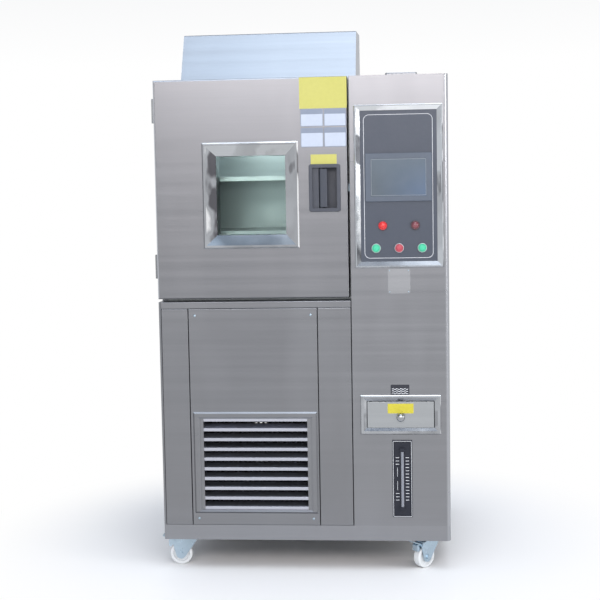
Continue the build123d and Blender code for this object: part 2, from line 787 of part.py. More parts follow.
def conditioning_coils():
    """Evaporator with fins and tubes, sheathed heater loop and humidifier pan, all in the air duct."""
    z = (chamber_bottom + 130, chamber_bottom + 340)
    x = grown((chamber_left, chamber_right), -32)
    depth = (liner_back - 80, liner_back)
    coil = block((x[0], x[0] + 2), depth, z) + block((x[1] - 2, x[1]), depth, z)
    for fin in range(1, evaporator_fins):
        fin_x = x[0] + fin * (x[1] - x[0]) / evaporator_fins
        coil += block(span(fin_x, 1.2), grown(depth, -8), grown(z, -4))
    for row in range(4):
        for column in range(2):
            coil += rod_x(depth[0] + 22 + 36 * column, z[0] + 26 + 52 * row, 6.0, grown(x, 8))
    near, far = grown((chamber_left, chamber_right), -60)
    wall_y = front + liner_back
    loop_y = wall_y - 100
    low = chamber_bottom + 60
    high = chamber_bottom + 100
    path = FilletPolyline((near, wall_y, high), (near, loop_y, high), (far, loop_y, high),
                          (far, loop_y, low), (near, loop_y, low), (near, wall_y, low), radius=15)
    start = Plane(origin=path @ 0, z_dir=path % 0)
    heater = sweep(start * Circle(4), path=path)
    pan = block(span(chamber_x, 200), span(liner_back - 150, 80), (chamber_bottom, chamber_bottom + 30))
    pan -= block(span(chamber_x, 196), span(liner_back - 150, 76), (chamber_bottom + 2, chamber_bottom + 31))
    return [coil, heater, pan]


def shelves():
    """Slotted shelves with a turned-down front edge."""
    plates = []
    for level in shelf_levels:
        x = grown((chamber_left, chamber_right), -plug_clearance)
        depth = (body_face + 26, baffle_depth - 10)
        plate = block(x, depth, (level, level + shelf_sheet))
        plate += block(grown(x, -rail_leg), (depth[0], depth[0] + shelf_sheet), (level - 12, level))
        for row in range(9):
            slot_depth = span(depth[0] + 30 + 38 * row, 14)
            plate -= block(grown(x, -34), slot_depth, (level - 1, level + shelf_sheet + 1))
        plates.append(plate)
    return plates


def shelf_rails():
    rails = []
    depth = (body_face + 32, baffle_depth - 14)
    for level in shelf_levels:
        for wall_x, inward in ((chamber_left, 1), (chamber_right, -1)):
            rail = block(sorted((wall_x, wall_x + inward * rail_leg)), depth, (level - sheet, level))
            rail += block(sorted((wall_x, wall_x + inward * sheet)), depth, (level - 20, level))
            rails.append(rail)
    return rails


# Door


def door_skin():
    """Outer door pan with the window and handle openings and the slot for the latch bolt."""
    skin = folded_door()
    rim_x = grown(span(chamber_x, window_width), -window_rim)
    rim_z = grown(span(chamber_level, window_height), -window_rim)
    skin -= block(rim_x, (-1, 5), rim_z)
    body_x = grown(handle_body_x, fit_gap)
    skin -= block(body_x, (-1, 5), grown(handle_body_z, fit_gap))
    return skin - block((door_right - 5, door_right + 1), grown(bolt_span, 0.5), grown(bolt_z, 0.5))


def folded_door():
    x = (left, door_right)
    z = (door_bottom, cabinet_top)
    outer = fillet(front_edges(block(x, (0, door_thickness - sheet), z)), door_edge_radius)
    inner = block(grown(x, -sheet), (sheet, door_thickness), grown(z, -sheet))
    return outer - fillet(front_edges(inner), door_edge_radius - sheet)


def door_liner():
    """Inner door pan: a flat back, a raised plug that enters the chamber and the window tunnel."""
    plug_x = grown((chamber_left, chamber_right), -plug_clearance)
    plug_z = grown((chamber_bottom, chamber_top), -plug_clearance)
    back = (door_thickness - sheet, door_thickness)
    plug = block(plug_x, (back[0], back[1] + plug_depth), plug_z)
    plug = fillet(plug.edges().filter_by(Axis.Y), plug_corner_radius)
    plug = chamfer(plug.faces().sort_by(Axis.Y)[-1].edges(), 5.0)
    hollow = block(grown(plug_x, -3), (back[0] - 1, back[1] + plug_depth - sheet), grown(plug_z, -3))
    hollow = fillet(hollow.edges().filter_by(Axis.Y), plug_corner_radius - 3)
    hollow = chamfer(hollow.faces().sort_by(Axis.Y)[-1].edges(), 5.0)
    pan = block((left, door_right), back, (door_bottom, cabinet_top)) + plug - hollow
    tunnel_x = span(chamber_x, window_glass_width)
    tunnel_z = span(chamber_level, window_glass_height)
    start = window_sink + pane
    pan += block(grown(tunnel_x, sheet), (start, back[1] + plug_depth), grown(tunnel_z, sheet))
    return pan - block(tunnel_x, (start - 1, back[1] + plug_depth + 1), tunnel_z)


def door_gasket():
    """Soft seal round the back of the door, a hair clear of the flange that it meets."""
    x = grown((left, door_right), -gasket_inset)
    z = grown((door_bottom, cabinet_top), -gasket_inset)
    depth = (door_thickness, body_face - gasket_gap)
    ring = block(x, depth, z) - block(grown(x, -gasket_width), grown(depth, 1), grown(z, -gasket_width))
    return chamfer(ring.faces().sort_by(Axis.Y)[-1].edges(), 4.0)


def window_frame():
    """Window frame: a rim on the skin, and a body with a wide bevel down to the glass."""
    outer_x = span(chamber_x, window_width)
    outer_z = span(chamber_level, window_height)
    glass_x = span(chamber_x, window_glass_width)
    glass_z = span(chamber_level, window_glass_height)
    frame = chamfer(front_edges(block(outer_x, (-window_rise, 0), outer_z)), 4.0)
    frame += block(grown(outer_x, -window_rim), (0, window_sink), grown(outer_z, -window_rim))
    frame -= funnel(glass_x, glass_z, (-window_rise, window_sink - 2), window_bevel)
    return frame - block(glass_x, (0, window_sink + 1), glass_z)


def window_panes():
    """Outer pane clamped behind the frame, and two panes inside the tunnel."""
    x = span(chamber_x, window_glass_width)
    z = span(chamber_level, window_glass_height)
    panes = [block(grown(x, pane_margin), (window_sink, window_sink + pane), grown(z, pane_margin))]
    for start in (window_sink + 30.0, door_thickness + plug_depth - 8.0):
        panes.append(block(grown(x, -fit_gap), (start, start + pane), grown(z, -fit_gap)))
    return panes


def handle_case():
    """Flush handle case: a rounded rim, a finger pocket beside the lever and the bolt guide behind."""
    rim = block(span(handle_x, handle_width), (-handle_rise, 0), span(handle_level, handle_height))
    rim = fillet(rim.edges().filter_by(Axis.Y), 8.0)
    rim = fillet(front_edges(rim), 2.0)
    case = rim + block(handle_body_x, (0, handle_body_depth), handle_body_z)
    pocket_x = span(handle_x, pocket_width)
    pocket_z = span(handle_level, pocket_height)
    pocket = block((pocket_x[0] + ledge_width, pocket_x[1]), (-10, handle_body_depth - 3), pocket_z)
    case -= fillet(pocket.edges().filter_by(Axis.Y), 3.0)
    case -= block((pocket_x[0], pocket_x[0] + ledge_width + 3), (-10, 4.0), pocket_z)
    bore_z = span(handle_level, pocket_height + 7)
    case -= rod_z(lever_axis_x, lever_axis_depth, lever_pin_radius + running_gap, bore_z)
    guide_x = (handle_body_x[1] - 28, handle_body_x[1])
    guide = block(guide_x, (handle_body_depth, bolt_span[1] + 4), grown(bolt_z, 8))
    guide -= block(grown(guide_x, 1), grown(bolt_span, fit_gap), grown(bolt_z, fit_gap))
    return case + guide


def door_lever():
    """Pull lever: a hub with two stub pins and a blade that tapers to its finger edge."""
    hub = Pos(lever_axis_x, front + lever_axis_depth) * Circle(lever_hub_radius)
    tip = Pos(lever_axis_x + lever_reach, front - 1) * Circle(lever_tip_radius)
    section = make_hull((hub + tip).edges())
    lever = extrude(Plane.XY.offset(handle_level - lever_length / 2) * section, amount=lever_length)
    pin_z = span(handle_level, pocket_height + 6)
    return lever + rod_z(lever_axis_x, lever_axis_depth, lever_pin_radius, pin_z)


def latch_bolt():
    """Flat bolt with a nose slanted on its closing side."""
    bolt = block((handle_body_x[1] - 34, door_right + bolt_throw), bolt_span, bolt_z)
    nose = bolt.faces().sort_by(Axis.X)[-1].edges().sort_by(Axis.Y)[-1]
    return chamfer(nose, 7.0, 9.0)


def strike_plate():
    """Slotted keeper on the inside of the column's folded edge."""
    face = column_left + sheet
    plate = block((face, face + strike_thickness), grown(bolt_span, 12), span(handle_level, strike_height))
    return plate - block((face - 1, face + 5), grown(bolt_span, 2.0), grown(bolt_z, 2.0))


def hinge_barrel(level, share):
    """One knuckle of a hinge: share picks the lower (-1), middle (0) or upper (1) third."""
    third = hinge_height / 3
    z = grown(span(level + share * third, third), -hinge_gap / 2)
    return rod_z(hinge_x, hinge_axis_depth, hinge_barrel_radius, z), z


def hinge_leaf_plate(level, start):
    """One flat leaf on the cabinet's left side, from a given depth."""
    plate = block((left - hinge_leaf, left), (start, start + hinge_leaf_width), span(level, hinge_height))
    return fillet(plate.edges().filter_by(Axis.X), 3.0)


def door_hinge_leaves():
    """Leaf on the side of the door with the middle knuckle."""
    leaves = []
    for level in hinge_levels:
        barrel, z = hinge_barrel(level, 0)
        leaf = barrel + hinge_leaf_plate(level, door_thickness - hinge_leaf_width)
        leaf += block((hinge_x, left - hinge_leaf), (hinge_axis_depth - 10, hinge_axis_depth), z)
        leaves.append(leaf - rod_z(hinge_x, hinge_axis_depth, hinge_pin_radius + running_gap, grown(z, 1)))
    return leaves


def body_hinge_leaves():
    """Leaf on the cabinet's side with the outer knuckles, and the pin that they hold."""
    solids = []
    for level in hinge_levels:
        leaf = hinge_leaf_plate(level, body_face + 1)
        for share in (-1, 1):
            barrel, z = hinge_barrel(level, share)
            leaf += barrel + block((hinge_x, left - 0.5), (hinge_axis_depth, body_face + 4), z)
        top = level + hinge_height / 2
        bore_z = span(level, hinge_height + 2)
        leaf -= rod_z(hinge_x, hinge_axis_depth, hinge_pin_radius + running_gap, bore_z)
        pin = rod_z(hinge_x, hinge_axis_depth, hinge_pin_radius, span(level, hinge_height))
        head = rod_z(hinge_x, hinge_axis_depth, hinge_barrel_radius - 1, (top, top + 2))
        solids += [leaf, pin + head]
    return solids


# Refrigeration and electrics


def compressor():
    """Hermetic shell on a foot plate with four rubber feet."""
    r = compressor_radius
    h = compressor_height
    side = Polyline((0, 14), (r - 25, 14), (r - 6, 26), (r, 40), (r, 100), (r + 4, 103), (r + 4, 109),
                    (r, 112), (r, h - 60))
    dome = Bezier((r, h - 60), (r, h - 20), (r * 0.65, h), (0, h))
    profile = make_face([side, dome, Line((0, h), (0, 14))])
    body = Pos(compressor_x, front + compressor_depth, base_top) * Rot(90, 0, 0) * revolve(profile, Axis.Y)
    body += block(span(compressor_x, 220), span(compressor_depth, 150), (base_top + 12, base_top + 16))
    for x in span(compressor_x, 180):
        for depth in span(compressor_depth, 110):
            body += rod_z(x, depth, 12.0, (base_top, base_top + 18))
    body += rod_z(compressor_x + 30, compressor_depth, 6.0, (base_top + h - 30, base_top + h + 20))
    return body


def condenser():
    """Finned condenser on its feet, and behind it the fan shroud with the motor on its bracket."""
    x = span(grille_x, condenser_width)
    z = (base_top, base_top + 20 + condenser_height)
    depth = (condenser_front, condenser_front + condenser_thickness)
    coil = block((x[0], x[0] + 2), depth, z) + block((x[1] - 2, x[1]), depth, z)
    for fin in range(1, condenser_fins):
        fin_x = x[0] + fin * (x[1] - x[0]) / condenser_fins
        coil += block(span(fin_x, 1.2), grown(depth, -6), (z[0] + 20, z[1] - 4))
    for row in range(6):
        coil += rod_x(sum(depth) / 2, z[0] + 50 + 50 * row, 6.0, grown(x, 6))
    shroud = block(x, (depth[1], shroud_back), z)
    shroud -= block(grown(x, -2), (depth[1] - 1, shroud_back - 2), grown(z, -2))
    shroud -= rod_y(grille_x, fan_level, fan_radius + 8, (depth[1], shroud_back + 1))
    motor_depth = (shroud_back + 22, shroud_back + 62)
    shroud += rod_y(grille_x, fan_level, 30.0, motor_depth)
    centre = Pos(grille_x, front + motor_depth[0] + 2, fan_level)
    for angle in (45, 135):
        shroud += centre * Rot(0, angle, 0) * Box(2 * fan_radius + 36, 3, 14)
    for turn in range(4):
        foot = Pos(fan_radius + 15, 0, 0) * Box(6, motor_depth[0] + 2 - shroud_back + 3, 14)
        place = Pos(grille_x, front + (motor_depth[0] + 2 + shroud_back - 1) / 2, fan_level)
        shroud += place * Rot(0, 45 + 90 * turn, 0) * foot
    shroud -= rod_y(grille_x, fan_level, 4.0 + running_gap, (motor_depth[0] - 1, motor_depth[0] + 20))
    return [coil, shroud]


def condenser_fan():
    """Axial fan with pitched blades on the motor's shaft."""
    depth = (shroud_back - 14, shroud_back + 8)
    fan = rod_y(grille_x, fan_level, 24.0, depth)
    fan += rod_y(grille_x, fan_level, 4.0, (depth[0], shroud_back + 40))
    blade_length = fan_radius - 20
    middle = Pos(grille_x, front + sum(depth) / 2, fan_level)
    outline = make_face(Polyline((0, -14), (blade_length, -34), (blade_length, 26), (0, 14), close=True))
    outline = fillet(outline.vertices().sort_by(Axis.X)[2:], 8.0)
    blade = Pos(20, 0, 0) * Rot(60, 0, 0) * extrude(outline, amount=1.0, both=True)
    for turn in range(fan_blades):
        fan += middle * Rot(0, turn * 360 / fan_blades, 0) * blade
    return fan


def electrical_plate():
    """Mounting plate with rows of devices, folded against the right side panel."""
    plate = block((control_x - 116, right - sheet), (520, 522), (640, 1520))
    plate += block((right - 2 * sheet, right - sheet), (495, 522), (640, 1520))
    for level in (760, 960, 1160, 1380):
        plate += block(span(control_x, 220), (513, 520), span(level, 35))
        for device in range(9):
            plate += block(span(control_x - 92 + 23 * device, 20), (450, 513), span(level, 84))
    return plate


def power_gland():
    """Hexagonal cable gland in the rear panel with its nut inside."""
    rear = cabinet_depth
    gland = rod_y(gland_x, gland_level, gland_radius, (rear - 14, rear + 8))
    hexagon = Plane.XZ * RegularPolygon(17, 6)
    gland += Pos(gland_x, front + rear + 8, gland_level) * extrude(hexagon, amount=8)
    gland += Pos(gland_x, front + rear - sheet, gland_level) * extrude(hexagon, amount=6)
    cap = rod_y(gland_x, gland_level, gland_radius + 2, (rear + 8, rear + 24))
    gland += fillet(cap.faces().sort_by(Axis.Y)[-1].edges(), 6.0)
    return gland - rod_y(gland_x, gland_level, 6.5, (rear - 20, rear + 30))


# Casters, built with the swivel axis on Z and the wheel trailing towards -X


def fork_outline(crown, nose, ear):
    """Cheek outline: wide under the crown, rounded at the axle, with an ear for the brake."""
    hub = Pos(-nose, wheel_radius) * Circle(hub_plate_radius)
    head = Pos(0, crown - 3) * Rectangle(2 * cup_radius + 4, 6)
    if ear:
        head += Pos(-nose + brake_pivot[0], wheel_radius + brake_pivot[1]) * Circle(7.0)
    return make_hull((hub + head).edges())


def fork_body(crown, nose, ear):
    """Pressed fork: two tapered cheeks joined by the crown, open for the wheel."""
    width = fork_gap + 2 * fork_sheet
    fork = extrude(Plane.XZ * fork_outline(crown, nose, ear), amount=width / 2, both=True)
    fork -= Pos(0, 0, crown - fork_sheet - 60) * Box(200, fork_gap, 120)
    fork -= Pos(-nose, 0, wheel_radius) * Rot(90, 0, 0) * Cylinder(axle_radius + running_gap, 60)
    if ear:
        hole = Rot(90, 0, 0) * Cylinder(brake_pin_radius + running_gap, 60)
        fork -= Pos(-nose + brake_pivot[0], 0, wheel_radius + brake_pivot[1]) * hole
    return fork


def axle_bolt(nose):
    """Axle with a hexagon head and nut outside the cheeks."""
    reach = fork_gap / 2 + fork_sheet
    bolt = Rot(90, 0, 0) * Cylinder(axle_radius, 2 * reach + 10)
    head = extrude(Plane.XZ * RegularPolygon(7.5, 6), amount=4.5)
    bolt += Pos(0, -reach, 0) * head
    bolt += Pos(0, reach + 4.5, 0) * head
    return Pos(-nose, 0, wheel_radius) * bolt


def swivel_fork():
    crown = caster_height - plate_sheet - cup_height - fit_gap
    fork = fork_body(crown, wheel_offset, True)
    pin_top = caster_height - 0.5
    fork += Pos(0, 0, (crown - 1 + pin_top) / 2) * Cylinder(kingpin_radius, pin_top - crown + 1)
    return [fork, axle_bolt(wheel_offset)]


def swivel_mount():
    """Top plate and ball cup of a swivel caster."""
    plate = fillet(Box(plate_length, plate_width, plate_sheet).edges().filter_by(Axis.Z), 6.0)
    mount = Pos(0, 0, caster_height - plate_sheet / 2) * plate
    for x in (-plate_length / 2 + 11, plate_length / 2 - 11):
        for y in (-plate_width / 2 + 10, plate_width / 2 - 10):
            mount -= Pos(x, y, caster_height) * Cylinder(4.2, 20)
    cup = Pos(0, 0, caster_height - plate_sheet - cup_height / 2) * Cylinder(cup_radius, cup_height)
    mount += fillet(cup.faces().sort_by(Axis.Z)[0].edges(), 2.5)
    return mount - Pos(0, 0, caster_height - 6) * Cylinder(kingpin_radius + running_gap, 30)


def rigid_mount():
    """Rigid rear caster: a top plate with its fork welded under it, and the axle."""
    plate = fillet(Box(plate_length, plate_width, plate_sheet).edges().filter_by(Axis.Z), 6.0)
    fork = fork_body(caster_height - plate_sheet, 0, False)
    return [Pos(0, 0, caster_height - plate_sheet / 2) * plate + fork, axle_bolt(0)]


def wheel():
    """Nylon wheel with a rounded tread, a dished web and a wide hub."""
    half = wheel_width / 2
    hub = fork_gap / 2 - fit_gap
    bore = axle_radius + running_gap
    side = Polyline((bore, 0), (bore, hub), (10, hub), (11, 8), (25, 8), (28, half),
                    (wheel_radius - tread_radius, half))
    tread = JernArc(side @ 1, (1, 0), tread_radius, -90)
    upper = make_face([side, tread, Line(tread @ 1, (wheel_radius, 0)), Line((wheel_radius, 0), (bore, 0))])
    return revolve(upper + mirror(upper, Plane.XZ), Axis.Y)


def brake_pedal():
    """Foot pedal hung between the cheeks, with a brake shoe that closes on the tread."""
    tail = Polyline((-17, 44), (-17, 47.5), (-34, 50.5), (-50, 56.5), (-pedal_reach, 62),
                    (-pedal_reach - 0.5, 59.5), (-50, 53.5), (-34, 46.5), (-26, 44), close=True)
    inner = wheel_radius + shoe_gap
    angles = (124, 132, 140, 148)
    arc = [(inner * math.cos(math.radians(a)), inner * math.sin(math.radians(a))) for a in angles]
    shoe = Polyline(*arc, (arc[-1][0] - 7, arc[-1][1] + 3), (-43, 44), (-36, 48), (-22, 46), close=True)
    pedal = extrude(Plane.XZ * make_face(shoe), amount=pedal_width / 2 - 3, both=True)
    pedal += extrude(Plane.XZ * make_face(tail), amount=pedal_width / 2, both=True)
    reach = fork_gap / 2 + fork_sheet
    pivot = Pos(brake_pivot[0], 0, brake_pivot[1])
    pedal += pivot * Rot(90, 0, 0) * Cylinder(6.0, fork_gap - 2 * fit_gap)
    pedal += pivot * Rot(90, 0, 0) * Cylinder(brake_pin_radius, 2 * reach + 1)
    for side in (-1, 1):
        pedal += pivot * Pos(0, side * (reach + 1), 0) * Rot(90, 0, 0) * Cylinder(4.5, 1.4)
    return Pos(-wheel_offset, 0, wheel_radius) * pedal


def place_caster(solid, at_right, at_front, turn):
    x = (right if at_right else left) + (-caster_inset if at_right else caster_inset)
    y = front + caster_inset if at_front else -front - caster_inset
    return Pos(x, y, 0) * Rot(0, 0, turn) * solid


def placed_wheel(nose):
    return Pos(-nose, 0, wheel_radius) * wheel()


# Places that several pieces share

front_wrap = 24.0
spout_level = chamber_bottom + drain_radius + 2.0
panel_z = (base_top, rail_top - rail_height - 1.0)
machine_panel_x = (machine_panel_left, machine_panel_right)
sleeve_x = grown(span(drawer_x, drawer_width), drawer_gap)
sleeve_z = (drawer_level - drawer_height / 2 - fit_gap, drawer_level + drawer_height / 2 + drawer_gap)
handle_body_x = span(handle_x, handle_width - 12)
handle_body_z = span(handle_level, handle_height - 13)
bolt_span = (bolt_depth, bolt_depth + bolt_thickness)
bolt_z = span(handle_level, bolt_height)
lamp_places = [(x, lamp_level) for x in span(control_x, lamp_spacing)]
button_places = [(control_x + step * button_spacing, button_level) for step in (-1, 0, 1)]

nodes = {
    "base_frame": base_frame(),
    "left_side_panel": left_side_panel(),
    "right_side_panel": right_side_panel(),
    "rear_panel": rear_panel(),
    "top_cover": top_cover(),
    "lower_front_frame": lower_front_frame(),
    "machine_room_panel": machine_room_panel(),
    "grille_frame": grille_frame(),
    "louvre_blades": louvre_blades(),
    "column_front_panel": column_front_panel(),
    "control_frame": control_frame(),
    "control_panel": control_panel(),
    "controller_bezel": controller_bezel(),
    "touch_screen": touch_screen(),
    "indicator_lamps": indicator_lamps(),
    "button_collars": button_collars(),
    "run_button": button(*button_places[0]),
    "stop_button": button(*button_places[1]),
    "light_button": button(*button_places[2]),
    "drawer_frame": drawer_frame(),
    "fill_drawer": fill_drawer(),
    "drawer_knob": drawer_knob(),
    "gauge_frame": gauge_frame(),
    "gauge_tube": gauge_tube(),
    "water_tank": water_tank(),
    "motor_hood": motor_hood(),
    "circulation_motor": circulation_motor(),
    "circulation_fan": circulation_fan(),
    "inner_liner": inner_liner(),
    "chamber_insulation": chamber_insulation(),
    "chamber_ports": chamber_ports(),
    "air_baffle": air_baffle(),
    "conditioning_coils": conditioning_coils(),
    "shelves": shelves(),
    "shelf_rails": shelf_rails(),
    "door_skin": door_skin(),
    "door_liner": door_liner(),
    "door_gasket": door_gasket(),
    "window_frame": window_frame(),
    "window_panes": window_panes(),
    "handle_case": handle_case(),
    "door_lever": door_lever(),
    "latch_bolt": latch_bolt(),
    "strike_plate": strike_plate(),
    "door_hinge_leaves": door_hinge_leaves(),
    "body_hinge_leaves": body_hinge_leaves(),
    "compressor": compressor(),
    "condenser": condenser(),
    "condenser_fan": condenser_fan(),
    "electrical_plate": electrical_plate(),
    "power_gland": power_gland(),
}

mounts = []
for at_right, turn in ((False, 0), (True, right_caster_turn)):
    side = "right" if at_right else "left"
    mounts.append(place_caster(swivel_mount(), at_right, True, 90))
    mounts += [place_caster(solid, at_right, False, 90) for solid in rigid_mount()]
    nodes[f"fork_front_{side}"] = [place_caster(solid, at_right, True, turn) for solid in swivel_fork()]
    nodes[f"wheel_front_{side}"] = place_caster(placed_wheel(wheel_offset), at_right, True, turn)
    nodes[f"wheel_rear_{side}"] = place_caster(placed_wheel(0), at_right, False, 90)
    nodes[f"brake_pedal_{side}"] = place_caster(brake_pedal(), at_right, True, turn)
nodes["caster_mounts"] = mounts


def write_parts():
    os.makedirs("parts", exist_ok=True)
    for name, shape in nodes.items():
        solids = shape if isinstance(shape, list) else [shape]
        found = [solid for item in solids for solid in item.solids()]
        export_step(Compound(label=name, children=found), f"parts/{name}.step")


write_parts()
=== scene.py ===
import json
import math

import bmesh
import bpy
from mathutils import Matrix, Vector


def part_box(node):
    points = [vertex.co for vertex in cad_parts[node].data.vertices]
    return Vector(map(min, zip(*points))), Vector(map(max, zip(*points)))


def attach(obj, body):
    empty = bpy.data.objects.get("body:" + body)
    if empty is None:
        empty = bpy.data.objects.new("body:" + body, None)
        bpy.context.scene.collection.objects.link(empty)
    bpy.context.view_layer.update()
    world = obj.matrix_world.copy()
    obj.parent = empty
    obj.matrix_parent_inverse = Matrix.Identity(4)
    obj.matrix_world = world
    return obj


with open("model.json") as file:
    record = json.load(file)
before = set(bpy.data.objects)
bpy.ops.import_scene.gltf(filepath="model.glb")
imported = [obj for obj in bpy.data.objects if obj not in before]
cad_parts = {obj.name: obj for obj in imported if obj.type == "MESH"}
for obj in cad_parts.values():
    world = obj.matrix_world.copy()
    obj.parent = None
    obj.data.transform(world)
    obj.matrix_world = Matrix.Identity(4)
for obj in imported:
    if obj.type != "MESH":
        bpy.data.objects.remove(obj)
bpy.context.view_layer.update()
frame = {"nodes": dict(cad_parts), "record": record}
nodes = frame["nodes"]

# Camera, fitted to the photograph: 4 m ahead of the front and 1.25 m up, turned a little left and down
LENS = 75.0
SENSOR = 36.0
EYE_X = 0.3522
EYE_AHEAD = 4.0316
EYE_HEIGHT = 1.2485
YAW = math.radians(5.095)
PITCH = math.radians(4.941)
ROLL = math.radians(-0.989)

# Sizes of the small things that only the looks need, in metres
STICKER = 0.0004
PLATE = 0.001
SCREW_RADIUS = 0.0042
HINGE_SCREW_RADIUS = 0.0034
RIVET_RADIUS = 0.0022
PANEL_LINE = 0.0014
SCREEN_LINE = 0.0011
GAUGE_LINE = 0.0012

# Left and right, low and high of each card, plate and printed line on the front
LARGE_CARD = ((0.001, 0.1535), (1.514, 1.6135))
SMALL_CARD = ((0.035, 0.1186), (1.3355, 1.3675))
HEADED_CARD_COLUMNS = ((0.004, 0.0767), (0.0796, 0.1506))
HEADED_CARD_ROWS = ((1.391, 1.453), (1.457, 1.513))
PANEL_BORDER = ((0.205, 0.4254), (1.031, 1.4905))
COLUMN_PLATE = ((0.278, 0.3504), (0.916, 0.997))
WATER_LABEL = ((0.2835, 0.344), (0.5865, 0.6196))
DRAWER_CARD = ((0.273, 0.357), (0.5258, 0.5578))

# Faces and corners that the small pieces and the looks go by, read from the frame
column_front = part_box("column_front_panel")[0].y
panel_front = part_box("control_panel")[0].y
door_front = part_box("door_skin")[0].y
drawer_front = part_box("fill_drawer")[0].y
collar_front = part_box("button_collars")[0].y
cabinet_low, cabinet_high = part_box("top_cover")
base_low, base_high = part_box("base_frame")
lower_panel_low, lower_panel_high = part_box("machine_room_panel")
rear_low, rear_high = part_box("rear_panel")
screen_low, screen_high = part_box("touch_screen")
gauge_low, gauge_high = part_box("gauge_frame")
lamp_low, lamp_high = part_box("indicator_lamps")
between_lamps = (lamp_low.x + lamp_high.x) / 2
below_lamp_collars = lamp_low.z - 0.008


# Materials


class Look:
    """A node material with one Principled shader, whose textures follow the object's own coordinates."""

    def __init__(self, name, color, rough, metal=0.0):
        self.material = bpy.data.materials.new(name)
        self.material.use_nodes = True
        self.tree = self.material.node_tree
        self.shader = self.tree.nodes["Principled BSDF"]
        self.set("Base Color", (*color, 1.0))
        self.set("Roughness", rough)
        self.set("Metallic", metal)
        places = self.tree.nodes.new("ShaderNodeTexCoord")
        self.coords = places.outputs["Object"]
        self.normals = places.outputs["Normal"]
        self.color = color
        self.height = None

    def set(self, socket, value):
        self.shader.inputs[socket].default_value = value

    def link(self, source, socket):
        self.tree.links.new(source, socket)

    def noise(self, scale, stretch=(1, 1, 1), detail=4.0, roughness=0.55, lean=0.0):
        """Fractal noise, stretched along the axes, after an optional lean about Y in degrees."""
        mapping = self.tree.nodes.new("ShaderNodeMapping")
        mapping.inputs["Scale"].default_value = stretch
        mapping.inputs["Rotation"].default_value = (0, math.radians(lean), 0)
        self.link(self.coords, mapping.inputs["Vector"])
        texture = self.tree.nodes.new("ShaderNodeTexNoise")
        texture.inputs["Scale"].default_value = scale
        texture.inputs["Detail"].default_value = detail
        texture.inputs["Roughness"].default_value = roughness
        self.link(mapping.outputs["Vector"], texture.inputs["Vector"])
        return texture.outputs["Fac"]

    def spread(self, factor, low, high, start=0.3, end=0.7):
        """The factor's range from start to end mapped to low..high."""
        ranged = self.tree.nodes.new("ShaderNodeMapRange")
        ranged.inputs["From Min"].default_value = start
        ranged.inputs["From Max"].default_value = end
        ranged.inputs["To Min"].default_value = low
        ranged.inputs["To Max"].default_value = high
        self.link(factor, ranged.inputs["Value"])
        return ranged.outputs["Result"]

    def combine(self, operation, first, second):
        """Maths on a socket and a second socket or a number."""
        node = self.tree.nodes.new("ShaderNodeMath")
        node.operation = operation
        self.link(first, node.inputs[0])
        if isinstance(second, float):
            node.inputs[1].default_value = second
        else:
            self.link(second, node.inputs[1])
        return node.outputs["Value"]

    def both(self, first, second):
        return self.combine("MULTIPLY", first, second)

    def part_along(self, vector, axis):
        """One coordinate of a vector."""
        split = self.tree.nodes.new("ShaderNodeSeparateXYZ")
        self.link(vector, split.inputs["Vector"])
        return split.outputs[axis]

    def beyond(self, axis, threshold):
        """1 where the coordinate along an axis is beyond the threshold, else 0."""
        return self.combine("GREATER_THAN", self.part_along(self.coords, axis), threshold)

    def between(self, axis, start, end):
        """Rises from 0 to 1 along an axis between two coordinates."""
        return self.spread(self.part_along(self.coords, axis), 0.0, 1.0, start, end)

    def facing(self, axis, start, end):
        """Rises from 0 to 1 as the surface normal's part along an axis goes from start to end."""
        return self.spread(self.part_along(self.normals, axis), 0.0, 1.0, start, end)

    def tint(self, factor, other):
        """Mixes towards another colour by a factor, on top of what the base colour already is."""
        mix = self.tree.nodes.new("ShaderNodeMix")
        mix.data_type = "RGBA"
        self.link(factor, mix.inputs["Factor"])
        base = self.shader.inputs["Base Color"]
        if base.links:
            self.link(base.links[0].from_socket, mix.inputs["A"])
        else:
            mix.inputs["A"].default_value = (*self.color, 1.0)
        mix.inputs["B"].default_value = (*other, 1.0)
        self.link(mix.outputs["Result"], base)

    def mottle(self, most, other, scale, stretch=(1, 1, 1), **grain):
        """Tints towards another colour in the patches of a noise, by a share of at most `most`."""
        self.tint(self.spread(self.noise(scale, stretch, **grain), 0.0, most), other)

    def vary_rough(self, factor, low, high):
        self.link(self.spread(factor, low, high), self.shader.inputs["Roughness"])

    def bump(self, factor, strength, distance):
        node = self.tree.nodes.new("ShaderNodeBump")
        node.inputs["Strength"].default_value = strength
        node.inputs["Distance"].default_value = distance
        self.link(factor, node.inputs["Height"])
        if self.height:
            self.link(self.height, node.inputs["Normal"])
        self.height = node.outputs["Normal"]
        self.link(self.height, self.shader.inputs["Normal"])


def scaled(color, by, plus=0.0):
    return tuple(min(1.0, c * by + plus) for c in color)


